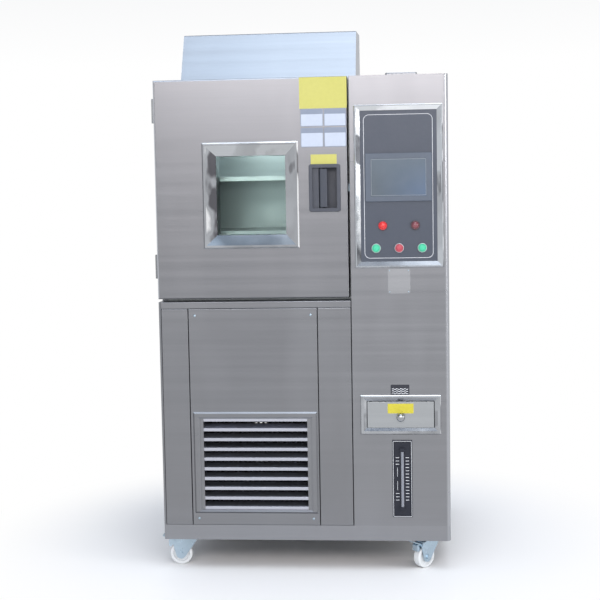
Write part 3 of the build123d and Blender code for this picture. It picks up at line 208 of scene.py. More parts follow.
def brushed(name, color, rough, along, cloud_share=0.40, wiped=0.18, hair=1.0, edge_highlight=1.5, edges=()):
    """Brushed sheet: hairlines along one axis, soft streaks, clouds, warm patches of painted reflection and
    faint wipe marks.

    Each of the edges is an axis and a sign, and the rolled rim that turns that way gets a painted highlight,
    brighter by the given gain.
    """
    look = Look(name, color, rough, metal=1.0)
    stretch = [1.0, 1.0, 1.0]
    stretch["XYZ".index(along)] = 0.012
    warm = (color[0] * 1.07, color[1] * 1.03, color[2])
    streaks = look.noise(45.0, stretch, detail=3.0)
    wipes = look.noise(6.0, (1.0, 1.0, 0.22), detail=2.0, lean=32.0)
    look.mottle(0.40 * hair, scaled(color, 0.84), 520.0, stretch, detail=3.0, roughness=0.6)
    look.tint(look.spread(streaks, 0.0, 0.35 * hair), scaled(color, 1.14))
    # Large soft darker clouds.
    look.mottle(cloud_share, scaled(color, 0.82), 2.6, detail=3.0)
    # Painted reflection: soft warm patches where the steel would mirror a warm room.
    look.mottle(0.4, warm, 1.7, detail=2.0)
    look.tint(look.spread(wipes, 0.0, wiped, 0.52, 0.80), scaled(color, 1.45))
    look.vary_rough(streaks, rough - 0.03 * hair, rough + 0.06 * hair)
    look.bump(streaks, 0.05 * hair, 0.0004)
    # Painted highlight along the rolled rims that turn the given ways.
    for axis, sign in edges:
        past_face = look.facing(axis, 0.15 * sign, 0.5 * sign)
        before_side = look.facing(axis, 0.97 * sign, 0.85 * sign)
        look.tint(look.both(past_face, before_side), scaled(color, edge_highlight))
    return look.material


def mirror(name, color, rough, wave, contrast):
    """Bright polished sheet with painted light and dark bands that stand for a room mirrored in it."""
    look = Look(name, color, rough, metal=1.0)
    bands = look.noise(4.5, (1.0, 1.0, 0.5), detail=1.5, roughness=0.4, lean=18.0)
    # Painted reflection: darker and brighter bands of a mirrored room.
    look.tint(look.spread(bands, 0.0, contrast, 0.50, 0.66), scaled(color, 0.38))
    look.tint(look.spread(bands, contrast, 0.0, 0.34, 0.46), scaled(color, 1.35))
    look.mottle(0.15, scaled(color, 0.8), 40.0, detail=6.0)
    look.vary_rough(look.noise(60.0, detail=4.0), rough, rough + 0.06)
    look.bump(look.noise(7.0, detail=1.0), wave, 0.01)
    return look.material


def chrome_frame(name, color, top, bottom, bright, dark, shade_from=None):
    """Polished frame whose faces take painted reflections and highlights as they turn, with broken light and
    dark painted mirror bands.

    Faces that look down, the inner ones at the top, take the painted reflection top. Faces that look up take
    the painted reflection bottom, and the outer sides above and on the right take the painted highlight
    bright. Behind the depth shade_from it is black, as painted shade.
    """
    look = Look(name, color, 0.12, metal=1.0)
    # Painted reflection and highlight: each face's colour follows the way it turns.
    look.tint(look.facing("Z", -0.3, -0.4), top)
    look.tint(look.facing("Z", 0.3, 0.4), bottom)
    look.tint(look.facing("Z", 0.6, 0.65), bright)
    look.tint(look.facing("X", 0.6, 0.65), bright)
    # Painted reflection: broken darker and brighter mirror bands.
    bands = look.noise(11.0, (1.0, 1.0, 0.55), detail=2.5, lean=14.0)
    look.tint(look.spread(bands, 0.0, 0.35, 0.52, 0.62), scaled(color, 0.6))
    look.tint(look.spread(look.noise(5.0, detail=1.0), 0.0, 0.35, 0.5, 0.6), scaled(color, 1.5))
    # Painted reflection: darker and brighter patches on the faces that turn right, darker ones on those that
    # turn left.
    patches = look.noise(20.0, (1.0, 1.0, 0.5), detail=2.0, roughness=0.4)
    rightward = look.facing("X", 0.3, 0.4)
    look.tint(look.both(rightward, look.spread(patches, 0.0, 0.8, 0.52, 0.60)), dark)
    look.tint(look.both(rightward, look.spread(patches, 0.7, 0.0, 0.36, 0.46)), bright)
    leftward = look.facing("X", -0.3, -0.4)
    look.tint(look.both(leftward, look.spread(patches, 0.0, 0.5, 0.62, 0.68)), dark)
    # Painted shade: black deep inside the frame.
    if shade_from is not None:
        look.tint(look.between("Y", shade_from, shade_from + 0.004), (0.02, 0.02, 0.025))
    look.vary_rough(look.noise(60.0, detail=4.0), 0.10, 0.16)
    look.bump(look.noise(7.0, detail=1.0), 0.15, 0.01)
    return look.material


def moulded(name, color, rough, grain=1400.0, depth=0.25):
    """Moulded plastic or paint with a fine grain and faint wear."""
    look = Look(name, color, rough)
    look.mottle(0.35, scaled(color, 0.86), 7.0, detail=6.0)
    look.mottle(0.18, scaled(color, 1.25, 0.01), 90.0, detail=5.0)
    look.vary_rough(look.noise(25.0), rough - 0.06, rough + 0.08)
    look.bump(look.noise(grain, detail=2.0), depth, 0.0002)
    return look.material


def card_stock(name, color, rough=0.5, depth=0.06):
    """Smooth card or print."""
    return moulded(name, color, rough, grain=900.0, depth=depth)


def pane_glass():
    """Clear pane that bends the light little, so that the three panes hardly shift what is behind them."""
    look = Look("glass_pane", (0.93, 0.97, 0.96), 0.02)
    look.set("Transmission Weight", 1.0)
    look.set("IOR", 1.1)
    look.vary_rough(look.noise(6.0, detail=6.0), 0.02, 0.05)
    look.bump(look.noise(4.0, detail=1.0), 0.04, 0.003)
    return look.material


def tube_glass():
    """Frosted sight tube, pale because water and light stand in it."""
    look = Look("glass_tube", (0.27, 0.29, 0.34), 0.18)
    look.mottle(0.5, (0.36, 0.38, 0.43), 40.0, (1, 1, 0.2))
    look.set("Transmission Weight", 0.25)
    look.bump(look.noise(900.0), 0.1, 0.0001)
    return look.material


def foam():
    """Yellowish insulation with open pores."""
    look = Look("insulation_foam", (0.80, 0.72, 0.42), 0.9)
    look.mottle(0.6, (0.66, 0.56, 0.30), 120.0, detail=8.0)
    look.bump(look.noise(260.0, detail=8.0), 0.8, 0.002)
    return look.material


def screen():
    """Dark glass of the touch screen, whose dim picture area is bluer towards its upper right corner."""
    look = Look("touch_screen_glass", (0.075, 0.098, 0.120), 0.12)
    blue_from_left, blue_at_right = 0.24, 0.42
    pale_from_below, pale_at_top = 1.25, 1.36
    look.tint(look.between("X", blue_from_left, blue_at_right), (0.080, 0.125, 0.205))
    look.tint(look.between("Z", pale_from_below, pale_at_top), (0.095, 0.125, 0.155))
    look.mottle(0.12, (0.14, 0.17, 0.22), 30.0, detail=3.0)
    look.set("Coat Weight", 0.6)
    look.set("Coat Roughness", 0.06)
    look.vary_rough(look.noise(30.0), 0.12, 0.22)
    return look.material


def lamp_lens():
    """Ribbed lens: the power lamp is bright red and the fault lamp, to its right, is unlit."""
    look = Look("lamp_lens", (0.72, 0.03, 0.03), 0.25)
    look.tint(look.beyond("X", between_lamps), (0.16, 0.06, 0.08))
    look.mottle(0.3, (0.40, 0.02, 0.02), 300.0)
    look.set("Coat Weight", 0.4)
    look.bump(look.noise(700.0, (1, 1, 0.2)), 0.3, 0.0003)
    return look.material


def button_cap(name, color):
    """Satin plastic of a button's cap or a coloured ring."""
    look = Look(name, color, 0.35)
    look.mottle(0.4, scaled(color, 0.8), 120.0, detail=5.0)
    look.vary_rough(look.noise(60.0), 0.28, 0.42)
    look.bump(look.noise(1600.0), 0.15, 0.0001)
    return look.material


def collar_steel():
    """Bright rings of the buttons, and the dark red rings of the lamps above them."""
    look = Look("collar_steel", (0.50, 0.54, 0.56), 0.30, metal=0.4)
    at_lamps = look.beyond("Z", below_lamp_collars)
    look.tint(at_lamps, (0.22, 0.012, 0.02))
    look.tint(look.both(at_lamps, look.beyond("X", between_lamps)), (0.055, 0.025, 0.035))
    look.mottle(0.3, (0.3, 0.31, 0.33), 240.0)
    look.bump(look.noise(600.0), 0.1, 0.0002)
    return look.material


def fins():
    """Coil with close fins, dark partly as a black finish and partly as painted shade for the dim room
    behind the louvres.
    """
    look = Look("coil_fins", (0.07, 0.074, 0.085), 0.45, metal=0.3)
    # Painted shade: near-black stripes for the shaded gaps between the fins.
    look.mottle(0.8, (0.012, 0.012, 0.014), 300.0, (1, 0.05, 0.05))
    look.bump(look.noise(900.0, (1, 0.02, 0.02)), 0.6, 0.001)
    return look.material


STEEL = (0.240, 0.249, 0.271)
CHROME = (0.36, 0.375, 0.40)

# One look for each material slot of the record
materials = {
    "brushed_steel": brushed("steel_brushed", STEEL, 0.30, "X"),
    "mirror_steel": mirror("steel_mirror", (0.38, 0.395, 0.42), 0.10, wave=0.18, contrast=0.6),
    "inner_steel": brushed("steel_inner", (0.60, 0.645, 0.67), 0.36, "X", cloud_share=0.35, wiped=0.0, hair=0.25),
    "zinc": mirror("zinc_plate", (0.42, 0.52, 0.60), 0.26, wave=0.35, contrast=0.35),
    "painted_steel": moulded("paint_light_grey", (0.62, 0.66, 0.72), 0.45, grain=700.0, depth=0.35),
    "slate_plastic": moulded("plastic_slate", (0.050, 0.058, 0.078), 0.46),
    "panel_film": moulded("film_slate", (0.052, 0.064, 0.090), 0.38, grain=2200.0, depth=0.12),
    "screen_glass": screen(),
    "lens_plastic": lamp_lens(),
    "green_plastic": button_cap("cap_green", (0.055, 0.56, 0.33)),
    "red_plastic": button_cap("cap_red", (0.46, 0.065, 0.095)),
    "nylon": moulded("nylon_white", (0.70, 0.73, 0.75), 0.38, grain=900.0, depth=0.15),
    "clear_glass": pane_glass(),
    "clear_tube": tube_glass(),
    "seal_rubber": moulded("rubber_seal", (0.10, 0.10, 0.105), 0.7, grain=1200.0, depth=0.4),
    "foam": foam(),
    "black_metal": moulded("enamel_black", (0.02, 0.02, 0.022), 0.35),
    "fan_aluminium": brushed("aluminium_fan", (0.45, 0.46, 0.48), 0.35, "X", cloud_share=0.2, wiped=0.0),
    "fin_aluminium": fins(),
    "tank_plastic": moulded("tank_white", (0.78, 0.79, 0.78), 0.4, grain=400.0, depth=0.2),
}

# Looks of the cards, printed lines and plates
yellow_card = card_stock("card_yellow", (0.50, 0.485, 0.125))
deep_yellow_card = card_stock("card_deep_yellow", (0.56, 0.50, 0.035))
white_card = card_stock("card_white", (0.47, 0.53, 0.64), rough=0.45)
slate_card = card_stock("card_slate", (0.21, 0.25, 0.33), rough=0.45)
white_ink = card_stock("ink_white", (0.70, 0.73, 0.77), depth=0.05)
dim_ink = card_stock("ink_dim", (0.26, 0.29, 0.33), depth=0.05)
dark_ink = card_stock("ink_dark", (0.016, 0.019, 0.030), depth=0.05)
bright_plate = brushed("plate_bright", (0.31, 0.325, 0.35), 0.40, "X", cloud_share=0.1, wiped=0.0)

# Looks of single nodes that differ from the rest of their slot, some of them by painted light
side_steel = brushed("steel_side", STEEL, 0.30, "Z")
# Painted light: the skirt is a brighter, lit copy of the cabinet steel, with a painted highlight on its
# right rolled rim.
skirt_steel = brushed("steel_skirt", scaled(STEEL, 1.18), 0.32, "X", cloud_share=0.3, wiped=0.1, edge_highlight=1.3,
                      edges=(("X", 1),))
# Painted reflections, highlights and inner shade of the window, control and drawer frames.
window_chrome = chrome_frame("chrome_window", CHROME, top=(0.46, 0.48, 0.50), bottom=(0.15, 0.16, 0.175),
                             bright=(0.95, 0.96, 0.98), dark=(0.05, 0.045, 0.055))
control_chrome = chrome_frame("chrome_control", (0.42, 0.445, 0.48), top=(0.85, 0.88, 0.92),
                              bottom=(0.20, 0.21, 0.23), bright=(0.80, 0.83, 0.87), dark=(0.03, 0.032, 0.04))
drawer_chrome = chrome_frame("chrome_drawer", CHROME, top=(0.27, 0.28, 0.30), bottom=(0.44, 0.46, 0.49),
                             bright=(0.62, 0.64, 0.67), dark=(0.18, 0.185, 0.20), shade_from=column_front)
overrides = {
    "left_side_panel": side_steel,
    "right_side_panel": side_steel,
    "base_frame": skirt_steel,
    # Painted light: the column is a brighter, lit copy of the steel, with a painted highlight on its right
    # rolled rim.
    "column_front_panel": brushed("steel_column", scaled(STEEL, 1.10), 0.30, "X", edges=(("X", 1),)),
    # Painted highlight on the door's top and left rolled rims.
    "door_skin": brushed("steel_door", STEEL, 0.30, "X", edge_highlight=2.0, edges=(("Z", 1), ("X", -1))),
    # Painted reflection: the hood is a brighter, bluer copy of the steel, for the pale blue light above that
    # it mirrors.
    "motor_hood": brushed("steel_hood", (0.325, 0.350, 0.392), 0.34, "X", cloud_share=0.2, wiped=0.1),
    "louvre_blades": brushed("steel_blades", (0.50, 0.525, 0.60), 0.36, "X", cloud_share=0.2, wiped=0.0),
    "fill_drawer": brushed("steel_bright", (0.40, 0.425, 0.45), 0.32, "X", cloud_share=0.2, wiped=0.1),
    "inner_liner": brushed("steel_liner", (0.42, 0.45, 0.465), 0.38, "X", cloud_share=0.35, wiped=0.0, hair=0.25),
    "conditioning_coils": brushed("steel_fins", (0.50, 0.51, 0.53), 0.35, "Z", cloud_share=0.2, wiped=0.0),
    "window_frame": window_chrome,
    "control_frame": control_chrome,
    "drawer_frame": drawer_chrome,
    "gauge_frame": moulded("plastic_gauge", (0.006, 0.009, 0.020), 0.62),
    "controller_bezel": moulded("plastic_bezel", (0.085, 0.108, 0.145), 0.42),
    "button_collars": collar_steel(),
}


def dress_nodes():
    """Gives each CAD node its own look, or the one of its slot."""
    for entry in frame["record"]["subparts"]:
        name = entry["node"]
        data = nodes[name].data
        data.materials.clear()
        data.materials.append(overrides.get(name, materials[entry["material_slot"]]))


# Meshes of the small pieces


def mesh_object(name, mesh, material):
    """Object in the scene made from a finished bmesh."""
    data = bpy.data.meshes.new(name)
    mesh.to_mesh(data)
    mesh.free()
    data.materials.append(material)
    thing = bpy.data.objects.new(name, data)
    bpy.context.scene.collection.objects.link(thing)
    return thing


def add_mesh(name, mesh, material, body, smooth=True, flat=False):
    """Visible piece that rides on a body. Its faces are turned outwards, unless it is flat print."""
    if not flat:
        bmesh.ops.recalc_face_normals(mesh, faces=mesh.faces)
    piece = mesh_object(name, mesh, material)
    if smooth:
        piece.data.shade_smooth()
        edges = piece.modifiers.new("crisp edges", "EDGE_SPLIT")
        edges.split_angle = math.radians(32)
    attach(piece, body)


def drawn_in(span, by):
    """A (low, high) pair made shorter at both ends."""
    return (span[0] + by, span[1] - by)


def middle(low, high):
    return (low + high) / 2


def rounded_outline(x, z, radius, steps=6):
    """Corner points of a rounded rectangle, anticlockwise seen from the front."""
    points = []
    corners = ((x[1] - radius, z[1] - radius, 0), (x[0] + radius, z[1] - radius, 90),
               (x[0] + radius, z[0] + radius, 180), (x[1] - radius, z[0] + radius, 270))
    for cx, cz, start in corners:
        for step in range(steps + 1):
            angle = math.radians(start + 90 * step / steps)
            points.append((cx + radius * math.cos(angle), cz + radius * math.sin(angle)))
    return points


def bridge(mesh, rings):
    """Bands of faces between closed rings in a row, where the first and the last may be a single point."""
    for low, high in zip(rings, rings[1:]):
        count = max(len(low), len(high))
        for i in range(count):
            j = (i + 1) % count
            corners = (low[i % len(low)], low[j % len(low)], high[j % len(high)], high[i % len(high)])
            mesh.faces.new(list(dict.fromkeys(corners)))


def card(name, x, z, face, material, body, slot_name, radius, thick=STICKER):
    """Thin card or plate with softened rim, lying on a surface that faces the front."""
    mesh = bmesh.new()
    rings = []
    for inset, y in ((0.0, face), (0.0, face - thick * 0.6), (thick * 0.7, face - thick)):
        outline = rounded_outline(drawn_in(x, inset), drawn_in(z, inset), radius)
        rings.append([mesh.verts.new((px, y, pz)) for px, pz in outline])
    bridge(mesh, rings)
    mesh.faces.new(rings[-1])
    mesh.faces.new(reversed(rings[0]))
    add_mesh(name, mesh, material, body, smooth=False)


def outline_band(name, x, z, face, width, material, slot_name, radius):
    """Printed line on the cabinet that follows a rounded rectangle."""
    mesh = bmesh.new()
    outer = rounded_outline(x, z, radius, 10)
    inner = rounded_outline(drawn_in(x, width), drawn_in(z, width), radius - width, 10)
    rings = []
    for outline, y in ((outer, face), (outer, face - STICKER), (inner, face - STICKER), (inner, face)):
        rings.append([mesh.verts.new((px, y, pz)) for px, pz in outline])
    bridge(mesh, rings)
    add_mesh(name, mesh, material, "cabinet", smooth=False)


def lathe(mesh, profile, centre, direction, steps=24):
    """Turns (radius, height) points about a direction from a centre."""
    turn = Vector((0, 0, 1)).rotation_difference(Vector(direction)).to_matrix().to_4x4()
    place = Matrix.Translation(centre) @ turn
    rings = []
    for radius, height in profile:
        ring = []
        for step in range(steps if radius else 1):
            angle = 2 * math.pi * step / steps
            point = Vector((radius * math.cos(angle), radius * math.sin(angle), height))
            ring.append(mesh.verts.new(place @ point))
        rings.append(ring)
    bridge(mesh, rings)


def screws(name, places, direction, radius, body):
    """Pan-head screws with a round recess, as one piece."""
    mesh = bmesh.new()
    shares = ((0, 0), (1, 0), (1, 0.28), (0.93, 0.45), (0.70, 0.62), (0.35, 0.70), (0.30, 0.45), (0, 0.40))
    head = [(out * radius, up * radius) for out, up in shares]
    for place in places:
        lathe(mesh, head, place, direction)
    add_mesh(name, mesh, materials["zinc"], body)


def wavy_line(mesh, x, z, y, height, waves, width):
    """Printed wavy stroke of a number of whole waves."""
    steps = waves * 12
    upper = []
    lower = []
    for step in range(steps + 1):
        share = step / steps
        level = z + height * math.sin(2 * math.pi * waves * share)
        px = x[0] + (x[1] - x[0]) * share
        upper.append(mesh.verts.new((px, y, level + width / 2)))
        lower.append(mesh.verts.new((px, y, level - width / 2)))
    for i in range(steps):
        mesh.faces.new((lower[i], lower[i + 1], upper[i + 1], upper[i]))


def tick(mesh, x, z, y):
    """Printed rectangle."""
    corners = [(x[0], y, z[0]), (x[1], y, z[0]), (x[1], y, z[1]), (x[0], y, z[1])]
    mesh.faces.new([mesh.verts.new(c) for c in corners])


# Small pieces


def door_cards():
    """Two bare yellow cards, and four white cards with slate heads."""
    card("door_card_large", *LARGE_CARD, door_front, yellow_card, "door", "tank_plastic", radius=0.0015)
    card("door_card_small", *SMALL_CARD, door_front, yellow_card, "door", "tank_plastic", radius=0.0015)
    rim = 0.002
    head = 0.017
    for column, x in enumerate(HEADED_CARD_COLUMNS):
        for row, z in enumerate(HEADED_CARD_ROWS):
            name = f"door_card_{column}{row}"
            card(name, x, z, door_front, slate_card, "door", "tank_plastic", radius=0.004)
            field_z = (z[0] + rim, z[1] - head)
            card(name + "_field", drawn_in(x, rim), field_z, door_front - STICKER, white_card,
                 "door", "tank_plastic", radius=0.002)


def control_lines():
    """Printed border of the control panel, and frame line of the screen."""
    outline_band("panel_border", *PANEL_BORDER, panel_front, PANEL_LINE, white_ink, "panel_film",
                 radius=0.018)
    x = drawn_in((screen_low.x, screen_high.x), 0.001)
    z = drawn_in((screen_low.z, screen_high.z), 0.002)
    outline_band("screen_line", x, z, screen_low.y, SCREEN_LINE, dim_ink, "slate_plastic", radius=0.002)


def button_rings():
    """Coloured rings in the collars, round the caps and lenses."""
    green = materials["green_plastic"]
    looks = {"run_button": green, "stop_button": materials["red_plastic"], "light_button": green,
             "power_lamp": button_cap("lens_red", (0.60, 0.02, 0.03)),
             "fault_lamp": button_cap("lens_dark", (0.10, 0.035, 0.045))}
    lens_radius = (lamp_high.z - lamp_low.z) / 2
    lamp_z = middle(lamp_low.z, lamp_high.z)
    lamp_places = {"power_lamp": (lamp_low.x + lens_radius, lamp_z),
                   "fault_lamp": (lamp_high.x - lens_radius, lamp_z)}
    profile = ((0.0106, -0.0006), (0.0106, 0.0003), (0.0112, 0.0005), (0.0130, 0.0004), (0.0133, -0.0003))
    for name, look in looks.items():
        if name in lamp_places:
            x, z = lamp_places[name]
        else:
            low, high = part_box(name)
            x, z = middle(low.x, high.x), middle(low.z, high.z)
        mesh = bmesh.new()
        lathe(mesh, profile, (x, collar_front, z), (0, -1, 0), steps=36)
        add_mesh(name + "_ring", mesh, look, "cabinet")


def column_plate():
    """Bare plate with four rivets under the control panel."""
    card("column_plate", *COLUMN_PLATE, column_front, bright_plate, "cabinet", "brushed_steel",
         radius=0.006, thick=PLATE)
    x, z = (drawn_in(span, 0.006) for span in COLUMN_PLATE)
    rivets = [(px, column_front - PLATE, pz) for px in x for pz in z]
    screws("plate_rivets", rivets, (0, -1, 0), RIVET_RADIUS, "cabinet")


def water_marks():
    """Label with waves over the water drawer, and the yellow card on the drawer."""
    card("water_label", *WATER_LABEL, column_front, dark_ink, "cabinet", "slate_plastic", radius=0.002)
    wave_x = (0.2875, 0.340)
    lowest = 0.5912
    pitch = 0.0070
    print_y = column_front - STICKER * 1.3
    marks = bmesh.new()
    for row in range(3):
        wavy_line(marks, wave_x, lowest + pitch * row, print_y, height=0.0015, waves=4, width=0.0020)
    add_mesh("water_label_waves", marks, white_ink, "cabinet", smooth=False, flat=True)
    card("drawer_card", *DRAWER_CARD, drawer_front, deep_yellow_card, "drawer", "tank_plastic", radius=0.001)


def gauge_scale():
    """Ticks and two bars on the sunk scale plate, and a line round the face of the gauge."""
    fittings_stand_out = 0.005
    scale_sunk = 0.0025
    gauge_face = gauge_low.y + fittings_stand_out
    print_y = gauge_face + scale_sunk - 0.0002
    right_x = (0.3295, 0.3405)
    left_x = (0.2975, 0.3085)
    bar_x = (0.3023, 0.3035)
    lowest = 0.2392
    upper_group = 0.358
    pitch = 0.0108
    half = 0.0009
    ticks = [(right_x, lowest + pitch * row) for row in range(14)]
    ticks += [(left_x, start + pitch * row) for start in (lowest, upper_group) for row in range(3)]
    marks = bmesh.new()
    for x, z in ticks:
        tick(marks, x, (z - half, z + half), print_y)
    for z in ((0.272, 0.302), (0.317, 0.347)):
        tick(marks, bar_x, z, print_y)
    add_mesh("gauge_marks", marks, white_ink, "cabinet", smooth=False, flat=True)
    x = drawn_in((gauge_low.x, gauge_high.x), 0.002)
    z = drawn_in((gauge_low.z, gauge_high.z), 0.002)
    outline_band("gauge_border", x, z, gauge_face, GAUGE_LINE, white_ink, "slate_plastic", radius=0.003)


def seam_strips():
    """Rubber strips behind the two seams of the machine room panel, against the folds that meet there."""
    low, high = lower_panel_low, lower_panel_high
    size = Vector((0.016, 0.003, high.z - low.z - 0.01))
    rubber = materials["seal_rubber"]
    for side, seam_x in (("left", low.x), ("right", high.x)):
        mesh = bmesh.new()
        bmesh.ops.create_cube(mesh, size=1.0)
        place = Matrix.Translation((seam_x, high.y + size.y / 2, middle(low.z, high.z)))
        bmesh.ops.transform(mesh, matrix=place @ Matrix.Diagonal((*size, 1.0)), verts=mesh.verts)
        add_mesh(side + "_seam_strip", mesh, rubber, "cabinet", smooth=False)


def panel_screws():
    """Screws in the corners of the machine room panel and round the rear panel."""
    x = drawn_in((lower_panel_low.x, lower_panel_high.x), 0.021)
    z = drawn_in((lower_panel_low.z, lower_panel_high.z), 0.022)
    places = [(px, lower_panel_low.y, pz) for px in x for pz in z]
    screws("panel_screws", places, (0, -1, 0), SCREW_RADIUS, "cabinet")
    x = drawn_in((rear_low.x, rear_high.x), 0.014)
    z = drawn_in((rear_low.z, rear_high.z), 0.03)
    places = []
    for level in range(6):
        pz = z[0] + (z[1] - z[0]) * level / 5
        places += [(px, rear_high.y, pz) for px in x]
    for step in range(1, 4):
        px = rear_low.x + (rear_high.x - rear_low.x) * step / 4
        places += [(px, rear_high.y, pz) for pz in z]
    screws("rear_screws", places, (0, 1, 0), SCREW_RADIUS, "cabinet")


def hinge_screws():
    """Three screws in each leaf of both hinges, the middle one set back from the other two."""
    leaf_thickness = 0.003
    hinge_levels = (1.008, 1.5205)
    pattern = ((-0.028, 0.010), (0.0, 0.020), (0.028, 0.010))
    for leaf, body in (("door_hinge_leaves", "door"), ("body_hinge_leaves", "cabinet")):
        low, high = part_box(leaf)
        start = low.y if body == "door" else high.y - 0.034
        places = []
        for level in hinge_levels:
            for rise, back in pattern:
                places.append((cabinet_low.x - leaf_thickness, start + back, level + rise))
        screws(leaf + "_screws", places, (-1, 0, 0), HINGE_SCREW_RADIUS, body)


def skirt_corners():
    """Curved sheets that close the two rounded right corners of the skirt from inside."""
    corner_radius = 0.016
    inner = 0.0143
    outer = 0.0159
    steps = 12
    low, high = drawn_in((base_low.z, base_high.z), 0.001)
    x = base_high.x - corner_radius
    corners = (("front", -90, base_low.y + corner_radius), ("rear", 0, base_high.y - corner_radius))
    for side, turn, y in corners:
        mesh = bmesh.new()
        rings = []
        for step in range(steps + 1):
            angle = math.radians(turn + 90 * step / steps)
            ring = []
            for radius, z in ((inner, low), (outer, low), (outer, high), (inner, high)):
                ring.append(mesh.verts.new((x + radius * math.cos(angle), y + radius * math.sin(angle), z)))
            rings.append(ring)
        bridge(mesh, rings)
        mesh.faces.new(rings[0])
        mesh.faces.new(rings[-1])
        add_mesh(f"skirt_corner_{side}", mesh, skirt_steel, "cabinet")


def column_top_cover():
    """Low cover on the top of the column."""
    mesh = bmesh.new()
    x = (0.276, 0.378)
    y = (cabinet_low.y + 0.012, cabinet_low.y + 0.085)
    rings = []
    for inset, rise in ((0.0, 0.0), (0.0, 0.005), (0.0015, 0.0075)):
        outline = rounded_outline(drawn_in(x, inset), drawn_in(y, inset), 0.008)
        rings.append([mesh.verts.new((px, py, cabinet_high.z + rise)) for px, py in outline])
    bridge(mesh, rings)
    mesh.faces.new(rings[-1])
    add_mesh("column_top_cover", mesh, bright_plate, "cabinet")


# Floor, light and camera


def make_floor():
    """Pale floor that takes the shadow near the cabinet and turns plain white farther out."""
    look = Look("studio_floor", (0.93, 0.93, 0.93), 0.6)
    look.mottle(0.4, (0.90, 0.90, 0.90), 0.8, detail=3.0)
    look.bump(look.noise(60.0), 0.02, 0.001)
    new = look.tree.nodes.new
    away = new("ShaderNodeVectorMath")
    away.operation = "LENGTH"
    look.link(look.coords, away.inputs[0])
    fade = new("ShaderNodeMapRange")
    fade.interpolation_type = "SMOOTHSTEP"
    fade.inputs["From Min"].default_value = 0.58
    fade.inputs["From Max"].default_value = 1.3
    look.link(away.outputs["Value"], fade.inputs["Value"])
    path = new("ShaderNodeLightPath")
    seen = path.outputs["Is Camera Ray"]
    for kind in ("Is Glossy Ray", "Is Transmission Ray"):
        seen = look.combine("MAXIMUM", seen, path.outputs[kind])
    share = look.both(seen, fade.outputs["Result"])
    white = new("ShaderNodeEmission")
    blend = new("ShaderNodeMixShader")
    look.link(share, blend.inputs["Fac"])
    look.link(look.shader.outputs["BSDF"], blend.inputs[1])
    look.link(white.outputs["Emission"], blend.inputs[2])
    look.link(blend.outputs["Shader"], look.tree.nodes["Material Output"].inputs["Surface"])
    mesh = bmesh.new()
    bmesh.ops.create_grid(mesh, x_segments=8, y_segments=8, size=60.0)
    floor = mesh_object("studio_floor", mesh, look.material)


def make_world():
    """White studio round the horizon that falls off to a soft grey overhead."""
    world = bpy.data.worlds.new("studio")
    bpy.context.scene.world = world
    world.use_nodes = True
    tree = world.node_tree
    background = tree.nodes["Background"]
    coords = tree.nodes.new("ShaderNodeTexCoord")
    split = tree.nodes.new("ShaderNodeSeparateXYZ")
    ramp = tree.nodes.new("ShaderNodeValToRGB")
    horizon, overhead = ramp.color_ramp.elements
    horizon.position = 0.10
    horizon.color = (1, 1, 1, 1)
    overhead.position = 0.75
    overhead.color = (0.30, 0.35, 0.44, 1)
    tree.links.new(coords.outputs["Generated"], split.inputs["Vector"])
    tree.links.new(split.outputs["Z"], ramp.inputs["Fac"])
    tree.links.new(ramp.outputs["Color"], background.inputs["Color"])


def add_light(name, data, direction, place=(0, 0, 0)):
    light = bpy.data.objects.new(name, data)
    light.location = place
    light.rotation_euler = Vector(direction).to_track_quat("-Z", "Y").to_euler()
    bpy.context.scene.collection.objects.link(light)


def area_light(name, place, target, size, power, color=(1, 1, 1)):
    data = bpy.data.lights.new(name, "AREA")
    data.shape = "RECTANGLE"
    data.size, data.size_y = size
    data.energy = power
    data.color = color
    add_light(name, data, Vector(target) - Vector(place), place)


def sun_light(name, direction, strength, angle):
    data = bpy.data.lights.new(name, "SUN")
    data.energy = strength
    data.angle = math.radians(angle)
    add_light(name, data, direction)


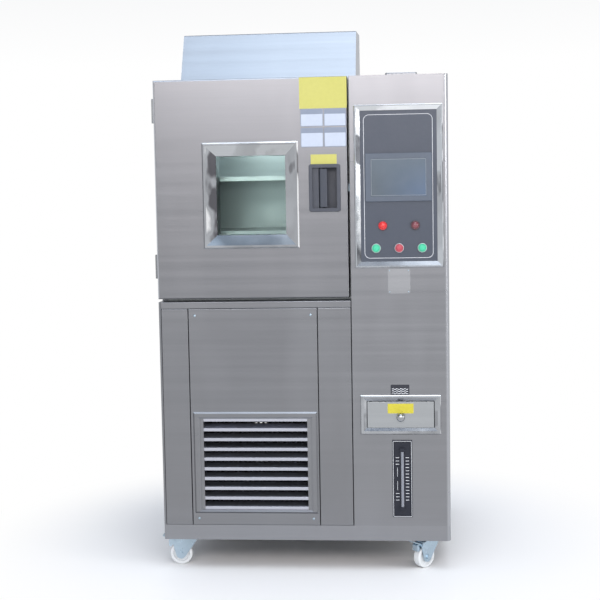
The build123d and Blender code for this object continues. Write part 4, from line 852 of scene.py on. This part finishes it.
def make_lights():
    """Soft day from above, large areas round the cabinet and the lamp inside the chamber."""
    sun_light("day", (-0.15, 0.30, -1.0), strength=0.85, angle=45)
    area_light("front_top", (0.6, -5.6, 3.0), (0, 0, 1.9), (5.0, 1.5), 150, (1.0, 0.92, 0.89))
    area_light("overhead", (0.0, -1.7, 4.8), (0, 0, 1.7), (3.2, 2.4), 34, (0.70, 0.86, 1.0))
    area_light("right_side", (4.6, -2.6, 2.2), (0.4, -0.3, 1.3), (1.6, 2.0), 60, (1.0, 0.97, 0.94))
    area_light("rear", (-1.0, 4.8, 3.4), (0, 0, 1.2), (4.0, 1.6), 30)
    baffle_low, baffle_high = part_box("air_baffle")
    lamp_x = middle(baffle_low.x, baffle_high.x)
    lamp_place = (lamp_x, baffle_low.y - 0.2, baffle_high.z + 0.01)
    lamp_target = (lamp_x, baffle_low.y - 0.15, 1.0)
    area_light("chamber_lamp", lamp_place, lamp_target, (0.2, 0.1), 0.9, (0.92, 1.0, 0.99))


def make_camera():
    """Camera axes worked out from the fitted turn, tilt and roll."""
    cy, sy = math.cos(YAW), math.sin(YAW)
    cp, sp = math.cos(PITCH), math.sin(PITCH)
    cr, sr = math.cos(ROLL), math.sin(ROLL)
    turn = Matrix(((cy, 0, sy), (0, 1, 0), (-sy, 0, cy)))
    tilt = Matrix(((1, 0, 0), (0, cp, -sp), (0, sp, cp)))
    roll = Matrix(((cr, -sr, 0), (sr, cr, 0), (0, 0, 1)))
    right, down, ahead = (Vector((row[0], row[2], -row[1])) for row in roll @ tilt @ turn)
    data = bpy.data.cameras.new("camera")
    data.lens = LENS
    data.sensor_width = SENSOR
    camera = bpy.data.objects.new("camera", data)
    bpy.context.scene.collection.objects.link(camera)
    basis = Matrix((right, -down, -ahead)).transposed().to_4x4()
    place = Vector((EYE_X, base_low.y - EYE_AHEAD, EYE_HEIGHT))
    camera.matrix_world = Matrix.Translation(place) @ basis
    bpy.context.scene.camera = camera


dress_nodes()
door_cards()
control_lines()
button_rings()
column_plate()
water_marks()
gauge_scale()
seam_strips()
panel_screws()
hinge_screws()
skirt_corners()
column_top_cover()
make_floor()
make_world()
make_lights()
make_camera()

bpy.context.scene.view_settings.view_transform = "Standard"
